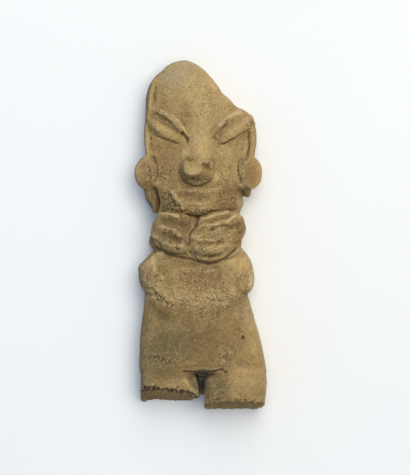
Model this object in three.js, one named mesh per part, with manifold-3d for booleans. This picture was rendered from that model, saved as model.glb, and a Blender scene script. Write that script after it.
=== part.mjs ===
// A small hand-modelled terracotta figurine, lying on its flat back with its face up.
//
// It was made from one lump of clay: a flattened slab for the head and body, with pellets
// and strips pressed on for the eyes, nose, ear discs, hair strips and the ribbed collar.
// The legs are broken off at the thighs, the left stump higher and on a slant.
// All of it was fired together, so it is one solid.
//
// Units are millimetres. +Z is up, out of the face; +Y runs towards the crown; +X is the
// viewer's right. The origin is the middle of the underside.
import * as THREE from "three";
import { mergeVertices } from "three/addons/utils/BufferGeometryUtils.js";
import Module from "manifold-3d";

const wasm = await Module();
wasm.setup();

// Levels along the figure, measured from its middle. Crown to stump is 110 mm. The stump levels
// are where the slanting broken faces cross the widest line of the body.
const CROWN = 55;
const DISC_LEVEL = 19.6;
const MOUTH_LEVEL = 12.6;
const CHIN = 6.3;
const SHOULDER = -5;
const ARM_END = -18.5;
const CHEST_END = -25;
const CROTCH = -42.8;
const SHORT_STUMP = -49.9;
const STUMP = -53.3;

// Heights above the table: first where the head and the body are widest, then their fronts.
const HEAD_RIM = 5.8;
const BODY_RIM = 7.4;
const HEAD_FRONT = 11.2;
const NECK_FRONT = 10.2;
const CHEST_FRONT = 14.6;
const BELLY_FRONT = 15.0;
const THIGH_FRONT = 15.2;
const NOSE_TIP = 18.2;
const COLLAR_FRONT = 16.4;

// How far a back first bulges below the table, before it is planed flat.
const BACK_BULGE = -0.7;

const TERRACOTTA = 0xa88a5c;

const clamp = THREE.MathUtils.clamp;
const lerp = THREE.MathUtils.lerp;

// A smooth function through [place, value] stations, which are listed in rising order of place.
// Its slopes are limited as a monotone cubic's are, so that it never swings past a station.
function through(stations) {
  const places = stations.map(([place]) => place);
  const values = stations.map(([, value]) => value);
  const last = stations.length - 1;
  const chords = places.slice(1).map((place, i) => (values[i + 1] - values[i]) / (place - places[i]));
  const slopes = values.map((_, i) => {
    if (i === 0 || i === last) return chords[Math.min(i, last - 1)];
    const [before, after] = [chords[i - 1], chords[i]];
    return before * after <= 0 ? 0 : (2 * before * after) / (before + after);
  });
  return (place) => {
    const at = clamp(place, places[0], places[last]);
    const i = Math.min(Math.max(places.findIndex((p) => p > at) - 1, 0), last - 1);
    const j = at >= places[last] ? last - 1 : i;
    const span = places[j + 1] - places[j];
    const t = (at - places[j]) / span;
    return (
      values[j] * (1 + 2 * t) * (1 - t) ** 2 +
      values[j + 1] * t ** 2 * (3 - 2 * t) +
      span * (slopes[j] * t * (1 - t) ** 2 + slopes[j + 1] * t ** 2 * (t - 1))
    );
  };
}

// Places from one end to the other, close together near an end that is rounded off.
function spread(from, to, count, roundStart = false, roundEnd = false) {
  const ease = (t) => {
    if (roundStart && roundEnd) return (1 - Math.cos(Math.PI * t)) / 2;
    if (roundStart) return 1 - Math.cos((Math.PI / 2) * t);
    if (roundEnd) return Math.sin((Math.PI / 2) * t);
    return t;
  };
  return Array.from({ length: count + 1 }, (_, i) => lerp(from, to, ease(i / count)));
}

// A closed skin over rings of points, each end closed by a fan.
function skin(rings) {
  const size = rings[0].length;
  const points = rings.flat();
  const faces = [];
  for (let r = 0; r + 1 < rings.length; r++)
    for (let i = 0; i < size; i++) {
      const a = r * size + i;
      const b = r * size + ((i + 1) % size);
      faces.push(a, b, b + size, a, b + size, a + size);
    }
  for (const [start, flip] of [
    [0, true],
    [points.length - size, false],
  ]) {
    const ring = points.slice(start, start + size);
    const middle = ring.reduce((sum, p) => sum.add(p), new THREE.Vector3()).divideScalar(size);
    points.push(middle);
    for (let i = 0; i < size; i++) {
      const a = start + i;
      const b = start + ((i + 1) % size);
      faces.push(...(flip ? [b, a] : [a, b]), points.length - 1);
    }
  }
  return new THREE.BufferGeometry().setFromPoints(points).setIndex(faces);
}

// A three.js geometry as a solid that can be joined and cut, with its faces turned outwards.
function solid(geometry) {
  const bare = geometry.clone();
  bare.deleteAttribute("normal");
  bare.deleteAttribute("uv");
  const merged = mergeVertices(bare, 1e-4);
  const triVerts = new Uint32Array(merged.index.array);
  const vertProperties = new Float32Array(merged.attributes.position.array);
  const made = new wasm.Manifold(new wasm.Mesh({ numProp: 3, vertProperties, triVerts }));
  if (made.volume() > 0) return made;
  return new wasm.Manifold(
    new wasm.Mesh({ numProp: 3, vertProperties, triVerts: triVerts.reverse() }),
  );
}

const joined = (solids) => solids.reduce((whole, next) => whole.add(next));

// A slab of clay along Y: an outline from left(y) to right(y), a rounded front up to front(y)
// and a flatter back down to back(y), which meet at the height rim(y). relief(x, y) raises or
// sinks the front. A higher edge or bed power gives a squarer front or back, and across and
// under are the numbers of steps over them.
function slab({
  rows,
  left,
  right,
  rim,
  front,
  back = () => BACK_BULGE,
  relief = () => 0,
  edge = 2.6,
  bed = 4,
  across = 20,
  under = 10,
}) {
  const bulge = (u, power) => (1 - Math.min(Math.abs(u), 1) ** power) ** (1 / power);
  return skin(
    rows.map((y) => {
      const middle = (left(y) + right(y)) / 2;
      const half = (right(y) - left(y)) / 2;
      const ring = [];
      for (let i = 0; i < across; i++) {
        const u = Math.sin((i / across - 0.5) * Math.PI);
        const x = middle + half * u;
        const rise = Math.max(front(y) - rim(y) + relief(x, y), 0);
        ring.push(new THREE.Vector3(x, y, rim(y) + rise * bulge(u, edge)));
      }
      for (let i = 0; i < under; i++) {
        const u = Math.sin((0.5 - i / under) * Math.PI);
        const x = middle + half * u;
        ring.push(new THREE.Vector3(x, y, rim(y) - (rim(y) - back(y)) * bulge(u, bed)));
      }
      return ring;
    }),
  );
}

// A strip or bean of clay along a curve through path. width and height are its half-sizes at the
// middle, level and upright; a higher blunt makes its ends fuller.
function bean({ path, width, height, rings = 9, sides = 10, blunt = 2.5 }) {
  const spine = new THREE.CatmullRomCurve3(path.map((p) => new THREE.Vector3(...p)));
  const up = new THREE.Vector3(0, 0, 1);
  return skin(
    spread(0, 1, rings, true, true).map((t) => {
      const at = spine.getPointAt(clamp(t, 0, 1));
      const across = spine.getTangentAt(clamp(t, 0, 1)).cross(up).normalize();
      const swell = Math.max(1 - Math.abs(2 * t - 1) ** blunt, 1e-4) ** 0.5;
      return Array.from({ length: sides }, (_, i) => {
        const turn = (2 * Math.PI * i) / sides;
        return at
          .clone()
          .addScaledVector(across, width * swell * Math.cos(turn))
          .addScaledVector(up, height * swell * Math.sin(turn));
      });
    }),
  );
}

// A rounded lump with the given half-sizes.
function lump([x, y, z], [rx, ry, rz], around = 14, along = 9) {
  return new THREE.SphereGeometry(1, around, along)
    .rotateX(Math.PI / 2)
    .scale(rx, ry, rz)
    .translate(x, y, z);
}

// The tall flat head. Its top slopes away to the viewer's right, from the crown to the temple.
function head() {
  const left = through([
    [3, -12.4],
    [8, -13.1],
    [14.5, -14.4],
    [20, -15.2],
    [30, -16.0],
    [36, -17.3],
    [42, -17.4],
    [45.6, -16.7],
    [47.5, -15.8],
    [49.4, -14.4],
    [51.2, -12.6],
    [53.1, -10.4],
    [54.4, -7.6],
    [CROWN, -5.4],
  ]);
  const right = through([
    [3, 10.6],
    [8, 11.5],
    [14.5, 12.8],
    [20, 13.9],
    [30, 15.3],
    [34, 16.9],
    [35.6, 17.0],
    [38.1, 15.2],
    [41.9, 10.0],
    [45.6, 6.1],
    [49.4, 3.2],
    [51.5, 1.2],
    [53.1, -0.8],
    [54.4, -2.8],
    [CROWN, -4.4],
  ]);
  const front = through([
    [3, HEAD_FRONT - 1.2],
    [12, HEAD_FRONT],
    [30, HEAD_FRONT],
    [44, HEAD_FRONT - 1.4],
    [51, HEAD_FRONT - 2.6],
    [CROWN, 6.2],
  ]);
  const rim = through([
    [3, HEAD_RIM],
    [45, HEAD_RIM],
    [CROWN, HEAD_RIM - 0.6],
  ]);
  const back = through([
    [3, BACK_BULGE],
    [40, BACK_BULGE],
    [50, 0.6],
    [CROWN, 4.4],
  ]);
  return slab({ rows: spread(3, CROWN, 22, false, true), left, right, rim, front, back, edge: 3 });
}

// The strips of clay down the sides of the head, for hair or a head cloth, and their ends below
// the ear discs.
function sideStrips() {
  const height = HEAD_RIM + 0.8;
  const strips = [
    { path: [[-13.7, 49.2], [-15.2, 45.2], [-16.0, 40], [-16.5, 34]], width: 1.2, thick: 4.3 },
    { path: [[-16.5, 37], [-16.6, 30], [-16.5, 20]], width: 1.25, thick: 4.2 },
    { path: [[-15.9, 19], [-16.1, 13], [-14.6, 6.5]], width: 1.7, thick: 3.6 },
    { path: [[16.0, 35.5], [16.1, 29], [16.0, 20]], width: 1.3, thick: 4.4 },
    { path: [[14.2, 19], [14.2, 15.5], [13.9, 11.6]], width: 1.6, thick: 2.8 },
  ];
  return strips.map(({ path, width, thick }) => {
    const raised = path.map(([x, y]) => [x, y, height]);
    return bean({ path: raised, width, height: thick, rings: 7, sides: 8, blunt: 6 });
  });
}

// The two ear discs: pellets pressed to buns with a sunk middle, turned a little outwards.
function earDiscs() {
  const radius = 5.4;
  const narrow = 0.7;
  const thick = 2.3;
  const turnedOut = THREE.MathUtils.degToRad(24);
  const profile = [
    [0, -thick],
    [0.55 * radius, -0.85 * thick],
    [0.9 * radius, -0.4 * thick],
    [radius, 0.1 * thick],
    [0.93 * radius, 0.62 * thick],
    [0.72 * radius, 0.93 * thick],
    [0.4 * radius, 0.94 * thick],
    [0, 0.8 * thick],
  ].map(([r, z]) => new THREE.Vector2(r, z));
  return [
    { at: [-17.0, DISC_LEVEL, 9.4], turn: -turnedOut, size: 1 },
    { at: [15.5, DISC_LEVEL, 9.9], turn: turnedOut, size: 0.98 },
  ].map(({ at, turn, size }) =>
    new THREE.LatheGeometry(profile, 20)
      .rotateX(Math.PI / 2)
      .scale(narrow * size, size, size)
      .rotateY(turn)
      .translate(...at),
  );
}

// Slanting eyes, each two lips of clay with the slit between them: a thin upper one and a
// fuller lower one.
function eyes() {
  const depths = [2.6, 1.3, 0.6, 0.5];
  const lips = [
    { path: [[-16.3, 39.0], [-12.6, 38.3], [-8.3, 35.4], [-4.2, 30.4]], width: 1.3, height: 1.6 },
    { path: [[-17.0, 36.4], [-13.8, 34.2], [-9.8, 31.9], [-5.2, 29.2]], width: 1.9, height: 2.0 },
    { path: [[14.4, 38.1], [11.2, 37.0], [7.4, 34.4], [4.2, 31.8]], width: 1.2, height: 1.5 },
    { path: [[17.0, 35.3], [13.6, 33.6], [9.6, 31.6], [4.9, 29.6]], width: 2.0, height: 2.0 },
  ];
  return lips.map(({ path, width, height }) => {
    const draped = path.map(([x, y], i) => [x, y, HEAD_FRONT - depths[i]]);
    return bean({ path: draped, width, height, sides: 8, blunt: 3 });
  });
}

// The nose: a low bridge that comes down out of the forehead between the eyes, and a round pellet
// for its end, with a nostril pressed in on each side where the two meet.
function nose() {
  const bridge = slab({
    rows: spread(18, 39, 9),
    left: through([[18, -5.2], [24, -5.0], [30, -5.2], [39, -4.0]]),
    right: through([[18, 3.4], [24, 4.0], [30, 5.2], [39, 4.0]]),
    rim: () => HEAD_FRONT - 1.6,
    front: through([[18, 15.8], [23, 14.4], [28, 12.8], [33, 11.6], [39, HEAD_FRONT - 1.5]]),
    back: () => HEAD_FRONT - 3,
    edge: 2,
    across: 12,
    under: 4,
  });
  const tipHeight = 4.4;
  const tip = lump([-1.3, 19.9, NOSE_TIP - tipHeight], [5.2, 4.5, tipHeight], 18, 11);
  const nostrils = [
    lump([-3.8, 23.6, NOSE_TIP - 1.8], [1.9, 0.9, 1.5], 10, 6),
    lump([2.2, 22.3, NOSE_TIP - 1.7], [1.8, 1.0, 1.4], 10, 6),
  ];
  return solid(bridge).add(solid(tip)).subtract(joined(nostrils.map(solid)));
}

// The jaw stands out a little round the mouth, with an upper and a lower lip.
function mouth() {
  const z = HEAD_FRONT;
  const jaw = lump([-1.0, 11.0, z - 2.0], [9.8, 6.0, 3.3], 18, 9);
  const upper = [[-7, 14.6, z + 0.2], [-3, 13.9, z + 0.9], [0.5, 13.7, z + 1], [6, 14.6, z + 0.2]];
  const lower = [
    [-6, MOUTH_LEVEL - 1.9, z + 0.9],
    [-0.5, MOUTH_LEVEL - 2.4, z + 1.5],
    [5.2, MOUTH_LEVEL - 1.6, z + 0.9],
  ];
  return [
    jaw,
    bean({ path: upper, width: 0.9, height: 1.0, sides: 8, blunt: 2 }),
    bean({ path: lower, width: 1.2, height: 1.0, sides: 8 }),
  ];
}

// One pad of the ribbed collar under the chin: an oval plate whose ribs run along its length.
function collarPad({ at, length, breadth, slant, ribs, ribRise }) {
  const thick = 2.6;
  const oval = 2.4;
  const reach = (y) => breadth * Math.max(1 - Math.abs(y / length) ** oval, 1e-4) ** (1 / oval);
  const ribbed = (x, y) => {
    const fade = 1 - (y / length) ** 4;
    return ribRise * fade * Math.cos((Math.PI * ribs * x) / breadth);
  };
  return slab({
    rows: spread(-length, length, 10, true, true),
    left: (y) => -reach(y),
    right: reach,
    rim: () => 0,
    front: (y) => thick * (1 - Math.abs(y / length) ** 6),
    back: () => -thick,
    relief: ribbed,
    edge: 3.2,
    under: 6,
  })
    .rotateZ(THREE.MathUtils.degToRad(slant))
    .translate(...at);
}

// The two pads of the collar. The viewer's right one laps over the left one.
function collar() {
  const z = COLLAR_FRONT - 3;
  return [
    { at: [-8.2, 0.9, z - 0.4], length: 7.4, breadth: 6.5, slant: 70, ribs: 3, ribRise: 0.4 },
    { at: [4.9, -0.4, z], length: 9.7, breadth: 7.7, slant: -72, ribs: 4, ribRise: 0.45 },
  ].map(collarPad);
}

// The neck behind the collar, and the end of a hair strip that shows beside it.
function neck() {
  const column = slab({
    rows: spread(SHOULDER - 3, CHIN + 3, 4),
    left: () => -13.4,
    right: () => 11.6,
    rim: () => HEAD_RIM,
    front: () => NECK_FRONT,
    across: 12,
    under: 8,
  });
  const stripEnd = lump([-14.4, -2.2, HEAD_RIM + 0.6], [1.9, 3.2, 4.0], 12, 8);
  return [column, stripEnd];
}

// The belly, widening from under the chest to the hips, where it ends in a sharp fold above the
// legs.
function belly() {
  return slab({
    rows: [...spread(CROTCH, -41, 2), ...spread(-38.5, -4, 11)],
    left: through([
      [CROTCH, -19.0],
      [-40, -19.3],
      [-35, -19.2],
      [-28, -18.7],
      [-24, -18.0],
      [ARM_END, -17.5],
      [-12, -15.5],
      [-4, -12.6],
    ]),
    right: through([
      [CROTCH, 20.4],
      [-40, 20.1],
      [-35.5, 19.3],
      [-31, 18.2],
      [-27, 17.0],
      [-23, 15.8],
      [ARM_END, 15.0],
      [-12, 13.8],
      [-4, 11.6],
    ]),
    rim: () => BODY_RIM,
    front: through([
      [CROTCH, BELLY_FRONT - 1],
      [-41.6, BELLY_FRONT - 0.1],
      [-38, BELLY_FRONT],
      [-31, BELLY_FRONT - 0.1],
      [CHEST_END, BELLY_FRONT - 0.9],
      [-18, BELLY_FRONT - 2.1],
      [-10, BELLY_FRONT - 2.6],
      [-4, NECK_FRONT],
    ]),
    edge: 3,
  });
}

// The chest and the short arms in one: a thick cape of clay laid over the body, as wide as the
// elbows. Its lower edge is a wide V.
function chest() {
  const round = through([
    [CHEST_END, CHEST_FRONT - 1.2],
    [-21.5, CHEST_FRONT - 0.1],
    [-16, CHEST_FRONT],
    [-9, CHEST_FRONT - 0.4],
    [SHOULDER, CHEST_FRONT - 2.2],
    [-1, NECK_FRONT - 0.5],
  ]);
  const hollow = (x, y) => -0.5 * Math.exp(-((x / 7) ** 2) - ((y + 13) / 4) ** 2);
  return slab({
    rows: [...spread(CHEST_END, -19, 5), ...spread(-17.5, -1, 10)],
    left: through([
      [CHEST_END, -3],
      [-23.2, -8.5],
      [-21.5, -11.4],
      [-20, -13.6],
      [ARM_END, -16.2],
      [-17, -18.2],
      [-15, -19.1],
      [-12, -19.5],
      [-10, -19.2],
      [-8, -17.9],
      [-6, -16.0],
      [-3.5, -13.6],
      [-1, -12.4],
    ]),
    right: through([
      [CHEST_END, 5],
      [-23.2, 8.5],
      [-21.5, 11.0],
      [-20, 13.0],
      [ARM_END, 15.0],
      [-17, 16.1],
      [-14, 16.6],
      [-11, 16.4],
      [-8, 15.6],
      [-5.5, 14.1],
      [-3.5, 12.9],
      [-1, 11.6],
    ]),
    rim: () => BODY_RIM + 0.2,
    front: round,
    back: through([
      [CHEST_END, 4],
      [ARM_END, 1.4],
      [-12, 0.6],
      [-1, BACK_BULGE],
    ]),
    relief: hollow,
    edge: 3.2,
    bed: 3,
  });
}

// One thigh, round in section, from inside the belly to where it is broken off at the level end.
// lean and turn tip the broken face towards the front and sideways, in degrees.
function thigh({ left, right, front, end, lean, turn }) {
  const past = STUMP - 3;
  const leg = slab({
    rows: spread(past, -38, 9),
    left: through(left),
    right: through(right),
    rim: () => BODY_RIM,
    front: through(front),
    edge: 2.9,
    bed: 3,
    across: 16,
  });
  const middle = (left[0][1] + right[0][1]) / 2;
  const missing = new THREE.BoxGeometry(40, 20, 60)
    .translate(0, -10, 0)
    .rotateX(THREE.MathUtils.degToRad(-lean))
    .rotateZ(THREE.MathUtils.degToRad(turn))
    .translate(middle, end, BODY_RIM);
  return solid(leg).subtract(solid(missing));
}

// The two legs. The viewer's left one broke higher and on a slant, so that its broken face shows
// from the front; the right one is longer and nearly square.
function legs() {
  return [
    thigh({
      left: [[-56, -18.9], [-48, -18.95], [-42, -18.7], [-38, -17.6]],
      right: [[-56, -2.6], [-50.5, -1.3], [-48, -0.8], [-44, -1.3], [-38, -3.2]],
      front: [[-56, 14.2], [-47, THIGH_FRONT - 0.5], [-42, 13.9], [-38, 12.2]],
      end: SHORT_STUMP,
      lean: 16,
      turn: -2,
    }),
    thigh({
      left: [[-56, 1.5], [-51, 1.5], [-44, 2.1], [-38, 3.4]],
      right: [[-56, 18.9], [-52.5, 20.0], [-47, 20.5], [-42, 20.1], [-38, 18.4]],
      front: [[-56, 14.8], [-47, THIGH_FRONT], [-42, 14.4], [-38, 12.4]],
      end: STUMP,
      lean: 12,
      turn: 0,
    }),
  ];
}

// The whole figure, planed flat where its back lies on the table.
function figurine() {
  const clay = [
    head(),
    ...sideStrips(),
    ...earDiscs(),
    ...eyes(),
    ...mouth(),
    ...neck(),
    ...collar(),
    chest(),
    belly(),
  ];
  const table = new THREE.BoxGeometry(200, 200, 20).translate(0, 0, -10);
  return joined([...clay.map(solid), nose(), ...legs()]).subtract(solid(table));
}

// A solid as a geometry whose origin is the middle of its underside.
function centred(made) {
  const { vertProperties, triVerts } = made.getMesh();
  const geometry = new THREE.BufferGeometry()
    .setAttribute("position", new THREE.BufferAttribute(vertProperties, 3))
    .setIndex(new THREE.BufferAttribute(triVerts, 1));
  geometry.computeBoundingBox();
  const { min, max } = geometry.boundingBox;
  geometry.translate(-(min.x + max.x) / 2, -(min.y + max.y) / 2, -min.z);
  geometry.computeVertexNormals();
  return geometry;
}

const group = new THREE.Group();
const clay = new THREE.MeshStandardMaterial({ color: TERRACOTTA, roughness: 0.95, metalness: 0 });
const body = new THREE.Mesh(centred(figurine()), clay);
body.name = "figurine";
group.add(body);

export default group;
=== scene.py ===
# %% [markdown]
# # A clay figurine, seen from above
#
# The object is a small figurine of low-fired clay, about 110 mm long, lying on its flat back. Its
# maker flattened one lump of clay, pressed pellets and strips onto it for the eyes, nose, ear discs,
# hair and collar, and fired it. It has since lost both legs and been worn by the ground.
#
# The CAD frame already holds the true form as one faceted solid. This lesson takes a copy of that
# form, turns it into a fine even skin, works it with the strokes that the maker's fingers and stick
# left, weathers it, and gives it a clay material that reads the shape it lies on.

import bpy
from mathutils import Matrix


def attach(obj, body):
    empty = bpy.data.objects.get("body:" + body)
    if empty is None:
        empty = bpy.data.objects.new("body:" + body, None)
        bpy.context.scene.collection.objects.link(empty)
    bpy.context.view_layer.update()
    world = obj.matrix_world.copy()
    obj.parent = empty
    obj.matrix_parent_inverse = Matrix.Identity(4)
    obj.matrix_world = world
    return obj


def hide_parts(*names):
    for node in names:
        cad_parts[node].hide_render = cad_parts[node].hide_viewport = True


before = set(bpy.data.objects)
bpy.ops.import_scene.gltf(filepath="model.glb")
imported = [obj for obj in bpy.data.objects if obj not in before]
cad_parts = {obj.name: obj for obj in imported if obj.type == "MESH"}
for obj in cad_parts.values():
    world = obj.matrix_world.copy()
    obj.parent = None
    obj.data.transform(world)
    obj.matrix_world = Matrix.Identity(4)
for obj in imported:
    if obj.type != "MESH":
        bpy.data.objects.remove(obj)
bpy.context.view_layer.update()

# %% [markdown]
# ## Units and seeds
#
# Blender works in metres here, but a figurine of this size is easier to think about in
# millimetres. So the clay is worked in millimetres, and turned into metres once, when it becomes a
# mesh again. Every random choice comes from one seeded generator, so that each run gives the same
# figurine.

import bpy
import numpy as np
from mathutils import Vector, kdtree, noise

MM = 0.001
chance = np.random.default_rng(1492)
scene = bpy.context.scene


def smooth_step(low, high, value):
    """0 below low, 1 above high, and a soft S in between. low may be the higher one."""
    share = np.clip((value - low) / (high - low), 0.0, 1.0)
    return share * share * (3.0 - 2.0 * share)


# %% [markdown]
# ## The camera
#
# The photograph looks straight down. A long lens from far above keeps the tall nose from leaning
# outwards, as it does in the picture. The frame is 475 pixels high, and 3.2 of its pixels make a
# millimetre at the level of the figurine's sides, which sets how far away the camera stands.

# %% Camera
FRAME_HEIGHT_PX = 475
PX_PER_MM = 3.2
VIEW_CENTRE = (1.4, -0.8)
SIDE_LEVEL = 7.0
LENS = 180.0
SENSOR = 36.0
FARTHEST = 10.0

view_height = FRAME_HEIGHT_PX / PX_PER_MM * MM
distance = view_height * LENS / SENSOR
camera_data = bpy.data.cameras.new("long lens")
camera_data.lens = LENS
camera_data.sensor_width = SENSOR
camera_data.clip_end = FARTHEST
camera = bpy.data.objects.new("camera", camera_data)
camera.location = (VIEW_CENTRE[0] * MM, VIEW_CENTRE[1] * MM, SIDE_LEVEL * MM + distance)
scene.collection.objects.link(camera)
scene.camera = camera
print("The camera stands", round(camera.location.z, 3), "m above the table")

# %% [markdown]
# ## Small helpers for nodes
#
# Light, paper and clay all get their colours from node trees. These helpers add a node, link it or
# set it to a plain value, mix two colours, and do sums, so that a tree reads like a few formulas.

# %% Node helpers
def seen(red, green, blue):
    """A colour as a screen shows it, 0 to 255, in the linear values that Blender mixes."""
    shares = np.array([red, green, blue]) / 255.0
    linear = np.where(shares < 0.04045, shares / 12.92, ((shares + 0.055) / 1.055) ** 2.4)
    return (*linear.tolist(), 1.0)


def add(tree, kind, inputs=(), **settings):
    """A node with its properties set, and its inputs by name."""
    node = tree.nodes.new(kind)
    for name, value in settings.items():
        setattr(node, name, value)
    for name, value in dict(inputs).items():
        node.inputs[name].default_value = value
    return node


def join(tree, socket, value):
    """Links a socket to another, or sets it to a plain value."""
    if isinstance(value, bpy.types.NodeSocket):
        tree.links.new(value, socket)
    else:
        socket.default_value = value


def mix_colors(tree, factor, a, b):
    """A colour mix. Each of factor, a and b is a socket or a plain value."""
    node = add(tree, "ShaderNodeMix", data_type="RGBA")
    for socket, value in zip((node.inputs[0], node.inputs[6], node.inputs[7]), (factor, a, b)):
        join(tree, socket, value)
    return node.outputs[2]


def sum_of(tree, operation, a, b=0.0):
    """One sum on numbers. Each of a and b is a socket or a plain value."""
    node = add(tree, "ShaderNodeMath", operation=operation)
    join(tree, node.inputs[0], a)
    join(tree, node.inputs[1], b)
    return node.outputs[0]


def times(tree, a, b):
    """One value times another."""
    return sum_of(tree, "MULTIPLY", a, b)


def ranged(tree, value, low, high, to_low=0.0, to_high=1.0):
    """A value stretched from one range to another, and held inside it."""
    limits = {"From Min": low, "From Max": high, "To Min": to_low, "To Max": to_high}
    node = add(tree, "ShaderNodeMapRange", limits)
    tree.links.new(value, node.inputs["Value"])
    return node.outputs["Result"]


# %% [markdown]
# ## Table and light
#
# The figurine lies on plain white paper, indoors. Most of the light falls from a pale ceiling, from
# a little to the right and beyond the head, so only narrow clefts are dark and the shadow on the
# paper is faint. A weaker window beyond the head shapes the forms. The rest of the room is warmer on
# the right and bluer on the left, which turns the shadow there blue. The plain Standard view keeps
# the clay's colours as they are set.

# %% Table and light
TABLE_SIZE = 3.0
PAPER_ROUGHNESS = 0.85
CLOUDS = {"Scale": 30.0}
DULL_PAPER = seen(241, 241, 236)
CLEAN_PAPER = seen(246, 246, 241)
COOL_SIDE = (0.58, 1.0, 1.75, 1.0)
WARM_SIDE = (1.25, 1.03, 0.76, 1.0)
SKY_STRENGTH = 0.345

scene.view_settings.view_transform = "Standard"
bpy.ops.mesh.primitive_plane_add(size=TABLE_SIZE)
table = bpy.context.object
table.name = "white_table"


def paper_material():
    """White paper with a faint cloudiness."""
    material = bpy.data.materials.new("white paper")
    material.use_nodes = True
    tree = material.node_tree
    shader = tree.nodes["Principled BSDF"]
    clouds = add(tree, "ShaderNodeTexNoise", CLOUDS)
    color = mix_colors(tree, clouds.outputs["Fac"], DULL_PAPER, CLEAN_PAPER)
    tree.links.new(color, shader.inputs["Base Color"])
    shader.inputs["Roughness"].default_value = PAPER_ROUGHNESS
    return material


def lamp(name, place, size, power, color):
    """A square lamp that faces the figurine."""
    data = bpy.data.lights.new(name, "AREA")
    data.size = size
    data.energy = power
    data.color = color
    made = bpy.data.objects.new(name, data)
    made.location = place
    made.rotation_euler = (-Vector(place)).to_track_quat("-Z", "Y").to_euler()
    scene.collection.objects.link(made)


def pale_sky():
    """An even sky, warmer towards the right and bluer towards the left."""
    sky = bpy.data.worlds.new("pale sky")
    sky.use_nodes = True
    tree = sky.node_tree
    background = tree.nodes["Background"]
    direction = add(tree, "ShaderNodeTexCoord")
    split = add(tree, "ShaderNodeSeparateXYZ")
    tree.links.new(direction.outputs["Generated"], split.inputs["Vector"])
    share = ranged(tree, split.outputs["X"], -1.0, 1.0)
    tree.links.new(mix_colors(tree, share, COOL_SIDE, WARM_SIDE), background.inputs["Color"])
    background.inputs["Strength"].default_value = SKY_STRENGTH
    return sky


table.data.materials.append(paper_material())
lamp("ceiling", place=(0.28, 0.3, 1.2), size=1.0, power=11.6, color=(1.0, 1.0, 0.985))
lamp("window", place=(0.12, 0.6, 0.6), size=0.5, power=1.5, color=(1.0, 0.96, 0.88))
scene.world = pale_sky()
print("Set up the table, two lamps and the sky")

# %% [markdown]
# ## A fine skin over the form
#
# The CAD solid has flat facets and sharp joints, which clay never has. A voxel remesh lays a skin
# of small, even squares over it, whatever its facets were, and closes the thin wedges where a
# strip meets the head. Its squares are 0.37 mm wide, a little more than a pixel of the photograph.

# %% Remesh the figurine
VOXEL = 0.37


def remeshed_copy(node, voxel):
    """A welded copy of a CAD node's mesh, laid over with even squares."""
    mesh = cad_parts[node].data.copy()
    mesh.materials.clear()
    rough = bpy.data.objects.new("rough_clay", mesh)
    scene.collection.objects.link(rough)
    weld = rough.modifiers.new("weld", "WELD")
    weld.merge_threshold = 1e-6
    grid = rough.modifiers.new("grid", "REMESH")
    grid.mode = "VOXEL"
    grid.voxel_size = voxel * MM
    graph = bpy.context.evaluated_depsgraph_get()
    made = bpy.data.meshes.new_from_object(rough.evaluated_get(graph))
    bpy.data.objects.remove(rough)
    return made


skin = remeshed_copy("figurine", VOXEL)
print("The skin has", len(skin.vertices), "points and", len(skin.polygons), "faces")

# %% [markdown]
# ## Clay as arrays of numbers
#
# Sculpting in code is moving points. The class below keeps the skin's points in millimetres, with
# the pairs of neighbours that its edges make. It can smooth the clay, as a wet finger does, and
# find which points lie near a line drawn on the front. A stroke then lifts or presses those points,
# by a soft profile that fades at the stroke's ends. A little noise in the distance to the line
# keeps every stroke from looking ruled. The clay also remembers what was drawn on it, so that cuts
# can be darkened, for dirt and as painted shade, and raised ridges lightened, for rubbing and as a
# painted highlight.

# %% The clay
def smooth_line(points, spacing=0.12):
    """Closely spaced points on a soft curve through a few points (a Catmull-Rom curve)."""
    p = np.array(points, float)
    p = np.vstack([2 * p[0] - p[1], p, 2 * p[-1] - p[-2]])
    line = []
    for before, a, b, after in zip(p, p[1:], p[2:], p[3:]):
        steps = max(2, int(np.linalg.norm(b - a) / spacing))
        t = np.linspace(0, 1, steps, endpoint=False)[:, None]
        bend = (2 * before - 5 * a + 4 * b - after) * t**2 + (3 * a - before - 3 * b + after) * t**3
        line.append(a + 0.5 * ((b - before) * t + bend))
    return np.vstack([*line, p[-2]])


def noise_over(points, size, octaves, shift):
    """Soft noise between about -1 and 1, with features of the given size in millimetres."""
    moved = points / size + shift
    return np.array([noise.fractal(p, 0.9, 2.1, octaves) for p in moved.tolist()])


def rows_of(items, name, width, kind=float):
    """One property of all items, as an array with a row for each item."""
    values = np.empty(len(items) * width, kind)
    items.foreach_get(name, values)
    return values.reshape(-1, width)


def ends(fade, along):
    """1 along the middle of a stroke, fading to 0 at both its ends."""
    return smooth_step(0, fade, along) * smooth_step(1, 1 - fade, along)


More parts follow.
